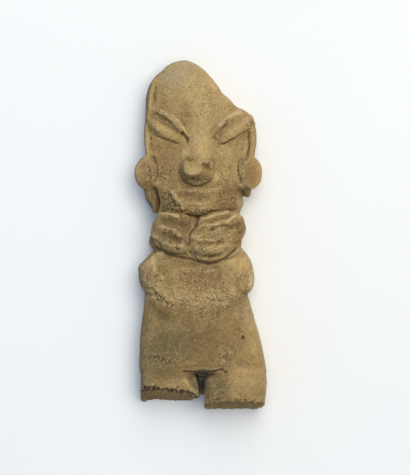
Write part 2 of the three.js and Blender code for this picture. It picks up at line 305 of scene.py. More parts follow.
class Clay:
    def __init__(self, mesh):
        mesh.calc_loop_triangles()
        self.at = rows_of(mesh.vertices, "co", 3) / MM
        self.edges = rows_of(mesh.edges, "vertices", 2, int)
        self.faces = rows_of(mesh.loop_triangles, "vertices", 3, int)
        self.degree = np.bincount(self.edges.ravel(), minlength=len(self.at))
        self.drawn = np.zeros(len(self.at))

    def spread(self, values):
        """Each point's mean of its neighbours' values."""
        a, b = self.edges.T
        count = len(values)
        return (np.bincount(a, values[b], count) + np.bincount(b, values[a], count)) / self.degree

    def relax(self, places, share):
        """Moves places a share of the way towards their neighbours' mean."""
        for k in range(places.shape[1]):
            places[:, k] += share * (self.spread(places[:, k]) - places[:, k])

    def smooth(self, rounds, swell=0.53):
        """Smooths the clay all over. Each round also swells it, so that it keeps its size."""
        for _ in range(rounds):
            self.relax(self.at, 0.5)
            self.relax(self.at, -swell)

    def wipe(self, share, rounds):
        """Levels the front where share is 1, as a wet finger does. Its outline stays."""
        share = 0.5 * share * smooth_step(-0.1, 0.3, self.normals()[:, 2])
        for _ in range(rounds):
            self.relax(self.at[:, 2:], share)

    def normals(self):
        """Each point's own direction outwards, from the triangles that meet there."""
        corners = self.at[self.faces]
        flat = np.cross(corners[:, 1] - corners[:, 0], corners[:, 2] - corners[:, 0])
        total = np.zeros_like(self.at)
        for corner in range(3):
            for k in range(3):
                total[:, k] += np.bincount(self.faces[:, corner], flat[:, k], len(self.at))
        return total / np.maximum(np.linalg.norm(total, axis=1, keepdims=True), 1e-12)

    def facing(self):
        """1 where the clay faces up, and 0 where it turns its side or its back."""
        return smooth_step(0.05, 0.45, self.normals()[:, 2])

    def near_line(self, path, reach, ragged):
        """Points within reach of a line on the front: which, how far to its left, and how far along."""
        line = smooth_line(path)
        xy = self.at[:, :2]
        inside = np.all((xy > line.min(0) - reach) & (xy < line.max(0) + reach), axis=1)
        which = np.flatnonzero(inside)
        gaps = xy[which, None] - line[None]
        closest = (gaps**2).sum(2).argmin(1)
        gap = gaps[np.arange(len(which)), closest]
        ahead = np.gradient(line, axis=0)[closest]
        side = np.sign(ahead[:, 0] * gap[:, 1] - ahead[:, 1] * gap[:, 0])
        away = side * np.linalg.norm(gap, axis=1)
        away += ragged * noise_over(self.at[which], 1.3, 3, 41.0)
        kept = np.abs(away) < reach
        return which[kept], away[kept], (closest / (len(line) - 1))[kept]

    def stroke(self, path, width, height, fade=0.12, ragged=0.15):
        """A soft uneven ridge along a line, or a groove where height is below 0."""
        which, away, along = self.near_line(path, 2.5 * width, ragged)
        lift = height * np.exp(-((away / width) ** 2))
        lift *= ends(fade, along)
        lift *= 1.0 + 2.0 * ragged * noise_over(self.at[which], 1.8, 2, 57.0)
        self.push(which, lift)
        self.drawn[which] += lift * min(1.0, 0.45 / width) ** 2

    def ledge(self, path, height, reach, crisp=0.3, fade=0.12, ragged=0.15):
        """Raises the clay on the line's left, steeply at the line and fading out over reach."""
        which, away, along = self.near_line(path, reach, ragged)
        lift = height * smooth_step(-crisp, crisp, away) * smooth_step(reach, 0.2 * reach, away)
        self.push(which, lift * ends(fade, along))

    def band(self, path, width):
        """1 on a line, and 0 further from it than width."""
        which, away, along = self.near_line(path, width, 0.0)
        share = np.zeros(len(self.at))
        share[which] = smooth_step(width, 0.6 * width, np.abs(away))
        return share

    def push(self, which, lift):
        """Moves some points up by lift, if they face up."""
        self.at[which, 2] += lift * self.facing()[which]

    def oval(self, centre, radii, turn=0.0):
        """1 at an oval's centre, fading to nothing just outside it."""
        x, y = self.at[:, 0] - centre[0], self.at[:, 1] - centre[1]
        c, s = np.cos(np.radians(turn)), np.sin(np.radians(turn))
        return np.exp(-(((c * x + s * y) / radii[0]) ** 2) - ((c * y - s * x) / radii[1]) ** 2)

    def cover(self, ovals):
        """The strongest of some ovals at each point. Each is x, y, two radii, strength and turn."""
        share = np.zeros(len(self.at))
        for x, y, across, along, strength, *turn in ovals:
            share = np.maximum(share, strength * self.oval((x, y), (across, along), *turn))
        return share

    def bump(self, centre, radii, height, turn=0.0):
        """A soft oval swelling on the front, or a hollow where height is below 0."""
        self.push(slice(None), height * self.oval(centre, radii, turn))

    def prick(self, centre, radii, depth, turn=0.0, facing=None):
        """A small pit, or a crumb where depth is below 0, that counts as drawn."""
        facing = self.facing() if facing is None else facing
        press = depth * self.oval(centre, radii, turn) * facing
        self.at[:, 2] -= press
        self.drawn -= press

    def fill(self, path, width, level, lowest=3.0, rounds=16):
        """Fills what lies below a level, in a band along a line on the front, and evens it out."""
        band = self.band(path, width) * (self.at[:, 2] > lowest)
        self.at[:, 2] += band * np.maximum(level - self.at[:, 2], 0.0)
        for _ in range(rounds):
            self.relax(self.at, 0.5 * band)

    def crumble(self, path, count, spread, size, depth):
        """Scatters small pits and crumbs along a line, where an edge has broken up."""
        line = smooth_line(path)
        facing = self.facing()
        for i in chance.integers(0, len(line), count):
            place = line[i] + chance.normal(0.0, spread, 2)
            radii = size * chance.uniform(0.6, 1.2, 2)
            press = depth * chance.uniform(0.4, 1) * chance.choice((1.0, 1.0, -0.6))
            self.prick(place, radii, press, facing=facing)

    def nudge(self, centre, radius, shift):
        """Shifts the clay round a place sideways, from its front down to its back."""
        share = self.oval(centre, (radius, radius))
        self.at[:, :2] += share[:, None] * np.array(shift)

    def flatten(self, centre, radii, level, turn=0.0, softness=0.6):
        """Presses what stands above a level, or above a form, down towards it inside an oval."""
        share = np.minimum(1.0, 2.0 * self.oval(centre, radii, turn))
        over = self.at[:, 2] - level
        kept = softness * np.log1p(np.exp(np.clip(over / softness, -30, 30)))
        self.at[:, 2] -= share * np.where(over > -3 * softness, kept, 0.0)


clay = Clay(skin)
clay.smooth(6)
print("Smoothed the facets out of", len(clay.at), "points")

# %% [markdown]
# ## Wiping the joints
#
# Where a maker wants a lump to grow out of the body, the joint is wiped with a wet finger. The
# bridge of the nose flows down from the forehead, the chest's middle runs into the belly and the
# hips into the thighs. So these joints are wiped far more than the rest, each by a mask that is
# strong over the joint and fades away from it. The eyes, the mouth, the discs' middles and the
# collar's ribs are wiped too, because they are drawn again as the real ones run.

# %% Wipe the joints
WIPED = {
    "bridge of the nose": ((0, 33), (7, 6), 0, 40),
    "foot of the bridge": ((-0.8, 26.5), (6, 3.5), 0, 24),
    "left cheek": ((-4.8, 25.6), (2.6, 3.4), 0, 70),
    "middle of the chest": ((1, -24.5), (10, 4.5), 0, 60),
    "right side of the chest": ((12.5, -20), (5, 3.5), 35, 40),
    "left side of the chest": ((-13.8, -19.2), (4.8, 3), -45, 70),
    "left hip": ((-14, -41.5), (6, 3.5), 0, 60),
    "right hip": ((14.5, -41.5), (6.5, 3.5), 0, 60),
    "mouth": ((-0.8, 12), (9, 3.4), 0, 60),
    "left disc": ((-17, 19.6), (2.2, 3.4), 0, 40),
    "right disc": ((15.6, 19.4), (2.4, 3.4), 0, 40),
    "left pad of the collar": ((-8.2, 0.9), (6, 5), -20, 40),
    "right pad of the collar": ((4.9, -0.4), (8.2, 6.2), 18, 40),
}
for centre, radii, turn, rounds in WIPED.values():
    clay.wipe(np.minimum(1.0, 1.6 * clay.oval(centre, radii, turn)), rounds)

left_eye = [(-16.6, 37.6), (-13, 36.2), (-9, 33.4), (-5, 30.2)]
right_eye = [(5.2, 31), (9, 34), (12.6, 35.8), (15.6, 36.6)]
clay.wipe(clay.band(left_eye, 4.6), 24)
clay.wipe(clay.band(right_eye, 4.6), 24)
print("Wiped", len(WIPED), "places and two eyes")

# %% [markdown]
# ## Small shifts of the outline
#
# The CAD solid draws the outline with broad curves. A few places of the real one run in or out of
# those, by a quarter of a millimetre or up to nearly two, so the clay is shifted there, front and
# back together. Each shift has a place, a radius, and how far it goes to the right and up.

# %% Shift the outline
OUTLINE_SHIFTS = [
    ((-5, 54.5), 2.4, (0, -0.25)),
    ((11.6, 40.6), 2.6, (-0.7, -0.6)),
    ((7, 44.4), 2.0, (-0.4, -0.3)),
    ((-12.5, 51.6), 2.0, (0.25, -0.15)),
    ((-19.8, 25), 2.6, (0.7, 0)),
    ((17.8, 25), 2.6, (-0.6, 0)),
    ((12.4, 9.2), 2.6, (1.7, 0.4)),
    ((13.6, 5.4), 1.6, (0.4, 0)),
    ((13.6, -1.8), 2.6, (-1.6, 0.5)),
    ((-16.4, 8.4), 1.9, (1, 0.5)),
    ((-15.6, -4.6), 1.2, (0.5, 0.4)),
    ((-18.8, -9.8), 1.6, (-0.5, 0.2)),
    ((15.4, -18.8), 1.7, (-0.6, 0)),
    ((-17.9, -51.6), 1.7, (-0.8, -1.4)),
    ((-0.6, -50), 1.3, (0.7, -0.7)),
    ((2.2, -53.6), 1.5, (-0.5, -0.6)),
]
for place, radius, shift in OUTLINE_SHIFTS:
    clay.nudge(place, radius, shift)
print("Shifted", len(OUTLINE_SHIFTS), "places")

# %% [markdown]
# ## The eyes
#
# Each eye is a slanting pad of clay. On the viewer's left a fingertip has pressed a shallow valley
# along it, between a crumbly upper lid and a smooth lower one, and the valley deepens into a dark
# corner beside the nose. On the right only a crisp ridge and a cut beneath it mark the lid. A stick
# has undercut the lower edge of both pads.

# %% Eyes
left_lid = [(-15.4, 38.7), (-12.8, 37.8), (-10.6, 36.5), (-8.7, 34.9), (-7.1, 33.2), (-5.6, 31.7)]
left_crest = [(-3.7, 30), (-4.5, 31.7), (-6, 34.4), (-7.6, 36.2), (-9.6, 37.5)]
left_crest += [(-12.2, 38.8), (-14.4, 39.5), (-16.6, 39.9)]
left_valley = [(-14.6, 36.6), (-13.2, 35.6), (-11.9, 34.7), (-10.4, 33.8), (-8.4, 32.8)]
left_valley += [(-6.6, 31.8), (-5, 30.6)]
left_corner = [(-7.2, 32.5), (-5.8, 31.6), (-4.7, 30.6), (-4.1, 29.7), (-4.3, 28.7), (-4.8, 28)]
left_pad = [(-16.2, 35.6), (-14, 33.8), (-11.5, 32.4), (-9, 31), (-6.6, 29.7)]
left_crease = [(-16.7, 35.2), (-15.7, 32.4), (-14.4, 31.5), (-12.3, 30.3), (-9.9, 29.4)]
left_crease += [(-7.9, 28.7), (-6.3, 28.4)]
right_lid = [(13, 38.5), (11.6, 38), (10.1, 37.1), (8.4, 35.9), (6.7, 34.6), (5.4, 33.5)]
right_cut = [(8.9, 35.2), (7.6, 34), (6.2, 32.7), (4.9, 31.6), (4.1, 31)]
right_corner = [(4.1, 31.1), (4.4, 30.2), (5, 29.2)]
right_pad = [(6.2, 30.7), (9.5, 32.5), (12.5, 34), (15.4, 35.2)]
right_crease = [(5.7, 28.1), (7.6, 28.5), (9.5, 29.6), (11.2, 30.5), (12.9, 31.8)]
right_crease += [(14.3, 32.3), (15.4, 33.6)]

clay.flatten((-11.4, 32.4), (6.5, 3.6), 10.7, turn=-38)
clay.flatten((10.5, 33.2), (6, 3.4), 11.2, turn=32)
clay.stroke(left_lid, 1.3, 0.55, fade=0.05)
clay.ledge(left_crest, 0.4, 2.6, fade=0.05)
clay.stroke(left_crest, 0.26, 0.35, fade=0.05, ragged=0.3)
clay.crumble(left_lid, 70, spread=0.8, size=0.27, depth=0.28)
clay.crumble([(-13.2, 38.8), (-11.6, 37.6), (-9.9, 36)], 34, spread=0.45, size=0.26, depth=0.4)
clay.stroke(left_pad, 1.4, 0.3)
clay.stroke(left_valley, 0.6, -0.5, fade=0.3)
clay.stroke(left_corner, 0.5, -1.2, fade=0.3)
clay.ledge(left_crease, 0.2, 4.0)
clay.stroke(left_crease, 0.22, -0.75, fade=0.06)
clay.stroke(right_pad, 1.9, 0.35)
clay.stroke(right_lid, 0.6, 0.55, fade=0.04, ragged=0.12)
clay.stroke(right_lid, 0.3, 0.2, fade=0.04, ragged=0.12)
clay.stroke(right_cut, 0.28, -0.45, ragged=0.12)
clay.stroke(right_corner, 0.25, -0.6, fade=0.05)
clay.ledge(right_crease, 0.35, 4.0)
clay.stroke(right_crease, 0.23, -0.8, fade=0.06)
clay.prick((8.2, 35.3), (0.35, 0.3), 0.4)
print("Drew the eyes")

# %% [markdown]
# ## The nose
#
# The nose ends in a pellet whose front a thumb has flattened, a little to the viewer's left. The
# ball is pressed down to a form that slopes from that flat patch to the pellet's rim. Its lower edge
# stands free of the face, so a thin dark crescent lies under it. A shallow press beside the patch
# stands for the nostril on the right.

# %% Nose
PATCH_TOP = 18.8

x, y = clay.at[:, 0], clay.at[:, 1]
clay.flatten((-0.4, 28), (6.5, 5.5), 12.3 + 1.6 * smooth_step(27.0, 23.0, y))
past_patch = np.maximum(np.hypot((x + 2.5) / 2.3, (y - 20.4) / 1.9) - 1, 0)
inside_rim = np.maximum(1 - np.hypot((x + 1.5) / 5.1, (y - 19.8) / 4.5), 0)
outwards = past_patch / (past_patch + inside_rim + 1e-6)
rim_level = 12.6 + 1.9 * smooth_step(20.0, 23.5, y)
pellet = rim_level + (PATCH_TOP - rim_level) * smooth_step(1.1, -0.3, outwards)
clay.flatten((-1.3, 19.8), (6, 5.6), pellet, softness=0.25)
nose_edge = [(-6.4, 20), (-6.1, 19), (-5.4, 17.7), (-4.3, 16.5), (-2.6, 15.7)]
nose_edge += [(-0.9, 15.4), (0.9, 15.8), (2.4, 16.7), (3.5, 18.2)]
clay.stroke(nose_edge, 0.25, -0.45, ragged=0.08)
clay.crumble([(-5.2, 18.6), (-3.4, 17.5), (-1, 17.2), (1.4, 17.6)], 26, spread=0.5, size=0.32, depth=0.4)
clay.stroke([(-4.6, 23.2), (-2.9, 23), (-1.8, 23.8)], 0.45, -0.45, fade=0.25, ragged=0.3)
clay.bump((1.5, 21.3), (1.6, 1.2), -0.8, turn=-20)
clay.stroke([(0.8, 21.6), (1.8, 21.3), (2.8, 20.5)], 0.35, -0.15, fade=0.25)
clay.stroke([(3.2, 23.2), (3.4, 21.6), (3.3, 20.2)], 0.4, 0.35, fade=0.3, ragged=0.3)
print("Drew the nose")

# %% [markdown]
# ## Mouth and chin
#
# The mouth has almost worn away: a wavy upper lip, a shallow hollow, and a lower lip that runs into
# the chin. The muzzle ends in a crumbling step, on the viewer's left and underneath, where the pad
# that it was made of has come loose.

# %% Mouth
muzzle_side = [(-9.9, 14.2), (-8.9, 12.8), (-7.5, 10.7), (-6.1, 8.9), (-5, 7.2)]
upper_lip = [(-8.9, 14.6), (-7.6, 13.7), (-5.6, 14), (-3.6, 13.3), (-1.4, 13.7)]
upper_lip += [(0.4, 13.4), (1.8, 13.1), (3.4, 13.7), (5.6, 13.8), (7.6, 14.6)]
mouth_line = [(-6.2, 12.4), (-4.2, 12.4), (-2, 11.9), (-0.6, 11.6), (1, 11.9), (3.2, 12)]
under_chin = [(-13.6, 7.6), (-9, 7.1), (-6.6, 7.4), (-4.8, 6.5), (-3.1, 6), (-1, 5.6)]
under_chin += [(0.6, 6), (2.3, 6.7), (4.5, 7.4), (7.2, 7.7), (11.8, 8.1)]
clay.ledge(muzzle_side, 0.6, 4.5, crisp=0.4, ragged=1.0)
clay.stroke(muzzle_side, 0.4, 0.2, ragged=0.5)
clay.crumble([(x - 1.0, y - 0.4) for x, y in muzzle_side], 60, spread=0.7, size=0.3, depth=0.5)
clay.crumble([(x + 0.2, y + 0.1) for x, y in muzzle_side], 46, spread=0.3, size=0.3, depth=-0.55)
clay.stroke(upper_lip, 0.7, 0.25, ragged=0.4)
clay.stroke(mouth_line, 0.9, -0.3, fade=0.25, ragged=0.4)
chin = [(-4.8, 8.2), (-2.6, 7), (0.4, 6.8), (2.8, 7.6), (4.6, 8.4)]
clay.crumble(chin, 34, spread=0.5, size=0.32, depth=0.25)
clay.bump((-4.8, 12.4), (1.8, 1.1), -0.3)
clay.bump((0.3, 9), (4.8, 1.9), 0.6)
clay.stroke(under_chin, 0.3, -0.6, fade=0.05, ragged=0.3)
clay.prick((-1, 5.4), (0.45, 0.45), 0.8)
print("Drew the mouth and the chin")

# %% [markdown]
# ## Strips and ear discs
#
# The strips of clay beside the face were laid on and barely joined, so a thin dark gap runs along
# each. A joint is first filled to a level and evened out, and then the gap is cut into it. The ear
# discs are pellets flattened with a fingertip. A few pricks lie near the left disc's inner edge,
# and two in the gap above it.

# %% Strips and discs
STRIP_GAPS = [  # path, width, depth, and the level that its joint is filled to
    ([(-13.9, 46.6), (-14.2, 44.2), (-14.1, 41.4)], 0.25, 0.4, 9.6),
    ([(-15.8, 33.4), (-15.4, 30), (-15.2, 27.4), (-14.9, 24.6)], 0.25, 0.15, 9.9),
    ([(-14.8, 15.4), (-14, 13.2), (-13.1, 10.4), (-13.5, 8.3), (-13.9, 6.4)], 0.5, 1.3, 9.0),
    ([(14.9, 32.6), (14.95, 30), (15, 27.4), (14.6, 24.8)], 0.26, 0.5, 10.3),
    ([(12.8, 24.2), (11.9, 22.2), (11.6, 20), (12, 17.8), (12.9, 15.8)], 0.28, 0.45, 10.5),
    ([(-15, 24.8), (-14, 23), (-13.5, 20.8), (-13.6, 18.4), (-14.4, 16.2)], 0.3, 0.55, 10.2),
]
clay.flatten((-17.2, 19.6), (3.9, 5.8), 10.8)
clay.flatten((15.6, 19.4), (4.1, 5.6), 10.8)
for path, width, depth, level in STRIP_GAPS:
    clay.fill(path, 2.2, level)
    clay.stroke(path, width, -depth, fade=0.06)
swirl = [(14.2, 21.4), (15.6, 21.8), (16.8, 20.6), (16.2, 18.9), (14.8, 18.6), (14, 19.6)]
clay.stroke(swirl, 0.4, -0.2, ragged=0.3)
pricks = [(-15.7, 19.9), (-16.5, 18.7), (-15.5, 18.1), (-16.3, 21), (-15.4, 30), (-15.2, 28.2)]
for place in pricks:
    clay.prick(place, (0.34, 0.42), 0.5)
print("Cut", len(STRIP_GAPS), "gaps beside the strips")

# %% [markdown]
# ## The collar
#
# Two pads of clay lie under the chin, the viewer's right one over the left one. Their ribs fan out
# unevenly and are worn round, so each rib and each furrow is a stroke of its own, with its own
# width and height.

# %% Collar
LEFT_PAD = [
    ([(-14.4, 5.1), (-12.9, 6.5), (-10, 6.7), (-7.5, 5.9), (-6, 5.4)], 0.45, 0.42),
    ([(-12.9, 4.7), (-8.4, 4), (-4.8, 2.7), (-3.1, 1.4)], 1.1, -0.63),
    ([(-13.5, 2.7), (-10.6, 2.2), (-8.4, 1.6), (-6.9, 0.4), (-6, -1.1)], 0.55, 0.35),
    ([(-12.4, 0.4), (-10, -0.5), (-8, -1.2), (-5.3, -2.1)], 0.7, -0.56),
    ([(-11.8, -2), (-10, -3), (-8, -3.5), (-5.3, -3.4), (-4.2, -3)], 0.7, 0.42),
]
RIGHT_PAD = [
    ([(-0.4, 4.9), (2.3, 5.4), (4.5, 6.2), (7.2, 6.8), (9.5, 7.2)], 0.6, 0.42),
    ([(1.6, 4), (4.5, 4.4), (7.2, 5.3), (9.2, 6)], 0.5, -0.42),
    ([(7.2, 3.6), (9, 4.5), (10.1, 5.6), (11.2, 6.4)], 0.55, 0.7),
    ([(-1.3, 2), (0.5, 2.6), (3.9, 3.1), (6.3, 3.5)], 0.6, 0.56),
    ([(2.1, 1.3), (4.1, 1.8), (6.1, 2.6), (7.6, 2.9), (9, 2.6)], 0.32, -0.49),
    ([(9, 2.6), (10.6, 2.9), (12.2, 3.7)], 0.8, -0.63),
    ([(-3.2, -0.3), (-1.4, -0.5), (1.2, 0.3)], 0.6, 0.42),
    ([(1.2, -0.4), (4.1, -0.2), (6.8, 0.4), (9, 1)], 1.0, -0.35),
    ([(-2.6, -1), (-0.5, -1.6), (1.8, -1.5), (4.5, -1.6), (6.8, -0.9), (9.4, 0.3)], 0.35, 0.42),
    ([(-1.7, -2.8), (1.8, -2.8), (5, -2.5), (7.6, -1.8)], 0.4, -0.35),
    ([(-2.9, -3.9), (-0.4, -4.1), (2.7, -4.5), (6.3, -3.9), (9.2, -2.4)], 1.0, 0.42),
    ([(-2.8, -5.3), (-0.4, -6.1), (1.6, -6.6), (5, -6.4), (7.4, -5.3)], 0.4, -0.49),
    ([(-1.9, -6.6), (0.1, -7.5), (2.7, -7.7), (6, -7)], 0.4, 0.35),
]
pad_gap = [(-0.8, 5.6), (-0.9, 4.1), (-1.9, 2.2), (-3, 0.6), (-3.5, -0.6), (-3.4, -1.9), (-4, -3.7)]
under_collar = [(-12.2, -4.2), (-10, -5.9), (-8, -6.5), (-4.8, -7.2), (-2.6, -7.6)]
under_collar += [(0, -8.5), (2.7, -8.8), (6, -8), (9.2, -5.9), (12.2, -3)]

for path, width, height in LEFT_PAD + RIGHT_PAD:
    clay.stroke(path, width, height, ragged=0.3)
shoulder_crease = [(-11.7, -4.8), (-12.3, -3.6), (-12.9, -2.4), (-13.8, -1.7)]
shoulder_crease += [(-15.2, -1.1), (-16.6, -0.3)]
clay.ledge(shoulder_crease, -0.7, 3.0, crisp=0.4)
clay.stroke(shoulder_crease, 0.28, -0.4, fade=0.05, ragged=0.25)
clay.bump((-14.8, -3.2), (1.3, 1.3), 0.6)
clay.stroke(pad_gap, 0.28, -0.7, fade=0.06, ragged=0.3)
clay.prick((-7.1, -4.3), (0.7, 0.35), 0.9, turn=-35)
clay.stroke([(-4.4, -5), (-3.7, -5.9), (-2.9, -6.8)], 0.35, 0.4)
clay.bump((-2.5, -9), (6, 1.3), -0.4)
clay.stroke(under_collar, 0.3, -0.7, fade=0.08)
print("Drew", len(LEFT_PAD) + len(RIGHT_PAD), "ribs and furrows")

# %% [markdown]
# ## Chest and belly
#
# The chest is a thick cape of clay that runs down from both shoulders. Its lower edge has crumbled
# on the viewer's left and melts into the waist elsewhere. A sharp fold closes the belly above the
# gap between the legs.

# %% Chest and belly
cape_edge = [(-18.4, -14.6), (-16.4, -16.4), (-14.8, -18.3), (-12.8, -20.1)]
cape_edge += [(-10.7, -21.7), (-9.4, -23.2)]
clay.ledge(cape_edge, 0.4, 5.0, crisp=1.0, fade=0.2, ragged=0.9)
clay.crumble(cape_edge, 70, spread=0.9, size=0.32, depth=0.3)
cape_edge_right = [(6, -25), (9, -22), (12.6, -19.6), (16.4, -16.4)]
clay.ledge(cape_edge_right, 0.45, 5.0, crisp=1.6, fade=0.3)
clay.ledge(cape_edge_right[::-1], -0.45, 4.0, crisp=1.6, fade=0.3)
clay.bump((1, -13.5), (6.5, 2.8), -0.4)
clay.bump((-11.5, -10.2), (3, 1.4), -0.25)
left_arm = [(-14.8, -5), (-15, -8), (-14.4, -10.6), (-12.7, -12.6), (-11.2, -14.3)]
clay.stroke(left_arm, 0.6, 0.25, ragged=0.6)
fold = [(-5.8, -42.3), (-3.4, -42.4), (-1.3, -42.5), (2.2, -42.5)]
fold += [(4.2, -42.2), (6, -41.7), (6.9, -41.8), (8.4, -43.1)]
clay.stroke(fold, 0.3, -0.8, fade=0.06)
clay.bump((0.5, -43.3), (1.7, 1), -4.0)
clay.flatten((0.4, -43.3), (1.8, 0.65), 11.8, softness=0.3)
print("Shaped the chest and the belly")

# %% [markdown]
# ## The stumps
#
# Both thighs are broken off. The viewer's left one has a flat break that can be seen from above,
# with sharp corners, and its front edge has flaked back. The right one ends squarely, below a rough
# bevel. The left thigh's inner side falls away in a flat slope to the gap, the right one's is
# steep, and under the fold a web of clay slopes down between the thighs.

# %% Stumps
GAP_MIDDLE = 0.9
WEB_LENGTH = 7.2
STEEPER_BY = 1.7

inner_thigh = [(-5, -44), (-3.8, -46.4), (-2.7, -47.9), (-1.5, -49.6)]
clay.ledge(inner_thigh, -1.6, 4.0, crisp=1.2, fade=0.2)
clay.stroke(inner_thigh, 0.5, 0.4, ragged=0.4)
x, y, z = clay.at.T
web = smooth_step(2.4, 1.4, abs(x - GAP_MIDDLE)) * smooth_step(-45.0, -43.4, y)
web *= smooth_step(-40.0, -41.5, y)
clay.at[:, 1] -= WEB_LENGTH * web * smooth_step(14.0, 1.0, z)
steepened = smooth_step(1.4, 3.0, x) * smooth_step(9.0, 4.5, x)
steepened *= smooth_step(6.0, 9.0, z)
steepened *= smooth_step(-43.0, -45.0, y)
clay.at[:, 0] -= STEEPER_BY * steepened
left_break = [(-17.6, -48.6), (-16.8, -47.7), (-14, -47.6), (-12, -47.9), (-9.5, -48.1)]
left_break += [(-7.2, -48.4), (-4.8, -48.9), (-3.3, -49.3), (-2.1, -49.8), (-0.8, -50.4)]
right_break = [(2.4, -52.2), (5, -52.5), (8, -52.4), (11, -52.6), (14, -52.2)]
right_break += [(17, -52.6), (19.2, -52.4)]
clay.crumble(left_break, 170, spread=0.45, size=0.3, depth=1.0)
clay.crumble(right_break, 150, spread=0.9, size=0.32, depth=0.6)
print("Shaped the stumps")

# %% [markdown]
# ## Small marks
#
# A few marks can be told apart on the real surface: a forked scratch high on the forehead and a
# long one low on the belly, the faint drag of fingertips beside the left eye, and single holes where
# grains have fallen out. The largest hole is on the right of the belly.

# %% Small marks
SCRATCHES = [
    [(-1.9, 46.9), (-0.4, 45.6), (-0.3, 44.4)],
    [(0.8, 46.9), (0.2, 46.2), (-0.4, 45.6)],
    [(7.6, -36.4), (8, -39.6), (8.3, -42.6)],
]
HOLES = [
    (1.5, 46.2), (-3.3, 46), (-7.5, 41.6), (6.5, 43.5), (-2.8, 41), (7.3, 42.2), (-4.5, 39.5),
    (6.2, 23.2), (8.2, 18.8), (8, 16.9), (6.6, 15.5), (-11.3, 12.5), (-12.3, 13.2), (-9.8, 11.8),
    (-7.4, 8.9), (-8.4, 10.1), (-6.6, 7.9), (-9.8, 0.7), (-8.9, 0.3), (9.1, 2.2), (10, 2.3),
    (-6.7, -26), (-7.5, -34.6), (-5.8, -34.3), (13.2, -32), (-10.7, -20.9), (-12.6, -19.6),
    (-14.6, -18), (3.4, -31.6), (-11.2, -29.4), (6.8, -48.6), (12.4, -47.2), (-14.6, -38),
    (-12.8, -38.4), (-11, -38.6), (-9.2, -38.4), (-13.6, -37.2), (-10.2, -37.4), (-4.9, -12),
]
FINGER_DRAGS = [
    [(-6, 37), (-4.8, 36.2), (-3.7, 35.1)],
    [(-5.3, 37.8), (-4.1, 36.9), (-3, 35.7)],
    [(-5, 36), (-4.2, 35.3), (-3.5, 34.3)],
    [(-4.4, 38.3), (-3.4, 37.4), (-2.5, 36.3)],
]
for path in FINGER_DRAGS:
    clay.stroke(path, 0.26, -0.14, fade=0.3, ragged=0.2)
for path in SCRATCHES:
    clay.stroke(path, 0.3, -0.25, ragged=0.2)
for place in HOLES:
    size = chance.uniform(0.22, 0.42)
    clay.prick(place, (size, size * chance.uniform(0.7, 1.3)), chance.uniform(0.25, 0.45))
clay.prick((13.1, -31.8), (0.4, 0.55), 0.9)
print("Left", len(SCRATCHES), "scratches and", len(HOLES) + 1, "holes")

# %% [markdown]
# ## Where the surface is broken
#
# The skin has crumbled in places, most of all along the chest's lower edge and the breaks. Each
# place is an oval: x, y, two radii, strength and, where it is tilted, its turn. The breaks and the
# gap between the thighs are marked by where they lie and which way they face, and the gap and its
# walls get painted shade.

# %% Mark the broken surface
CRUMBLED = [
    # Forehead and eyes
    (-1, 47.5, 4.5, 2.5, 0.3), (1, 41, 8, 6, 0.25), (-11.4, 37.9, 2.4, 0.9, 1, -35),
    (8.2, 35.4, 1.6, 0.8, 0.5, 35), (14.2, 34.2, 1.9, 1.1, 0.9, 25), (5.6, 28, 2.4, 5, 0.3),
    (0, 27, 4, 5, 0.3),
    # Nose, ear discs and mouth
    (-2.8, 23.3, 2, 0.8, 0.9), (-6.2, 22, 1, 2, 0.4), (2.6, 21.8, 1.8, 1.6, 0.7),
    (12.6, 19.6, 1.2, 4.6, 0.8), (-16, 19.2, 1.3, 2.4, 0.9), (-10, 18, 3, 6, 0.3),
    (7.4, 17.6, 1.4, 3, 0.7), (-1.6, 17.4, 3.4, 1, 0.7), (0, 13.4, 8, 1, 0.4),
    (9.4, 11.4, 3, 3.6, 0.15), (-9.4, 9.9, 2, 4.4, 1, 40), (-0.5, 7.2, 4.6, 0.9, 1),
    # Collar, chest and arms
    (9.6, 2.6, 1.6, 0.8, 0.8), (1.4, 2.4, 3.4, 2.8, 0.8), (-9, 1.4, 3, 1, 0.8, -20),
    (-0.5, -1, 2.4, 1.4, 0.6), (4.5, -1.4, 6, 2.4, 0.6, 8), (-8.6, -2.6, 4, 1.2, 0.6, -15),
    (4, -4.2, 6, 1.6, 0.5, 10), (14.4, -12.6, 2.2, 4.2, 0.9, 10), (-17.6, -13, 1.2, 3.6, 0.8, 10),
    (-17, -14, 2.4, 3, 0.6), (-13.4, -14.8, 1.8, 3.6, 1, 35), (0, -16.5, 13, 5, 0.5),
    (13.2, -17.6, 1.8, 1.4, 0.9, -20), (-13.6, -18.8, 5.6, 1.9, 1, -42), (-5.5, -20, 6, 2.4, 1),
    (5, -20, 8, 4, 0.7, 20),
    # Belly and stumps
    (7, -38, 2, 5, 0.5, 10), (-12, -38.2, 4, 1, 0.8, -10), (-13.5, -47.9, 5.5, 0.8, 1),
    (-5, -48.9, 4.4, 0.8, 1, -14), (9.5, -51.8, 8, 1.6, 1),
]
crumbled = clay.cover(CRUMBLED)
normals = clay.normals()
broken = smooth_step(0.3, 0.8, -normals[:, 1]) * smooth_step(-46.5, -48.5, clay.at[:, 1])
x, y, z = clay.at.T
middle = np.interp(y, (-47.5, -43), (0.8, 0.2))
half_width = np.interp(y, (-47.5, -43), (1, 2))
# Painted shade for the gap between the thighs and its walls.
cleft_shade = smooth_step(1.2, 0.8, abs(x - middle) / half_width) * smooth_step(-42.3, -42.7, y)
cleft_shade *= smooth_step(-51.0, -47.0, y) * smooth_step(14.3, 13.4, z)
walls = smooth_step(2.8, 2.2, abs(x - GAP_MIDDLE)) * smooth_step(-42.4, -43.4, y)
walls *= smooth_step(10.0, 7.5, z)
cleft_shade = np.maximum(cleft_shade, 0.8 * walls * smooth_step(0.4, 0.7, abs(normals[:, 0])))
rough = np.maximum(crumbled, 0.6 * broken)
print("Marked", len(CRUMBLED), "crumbled places")

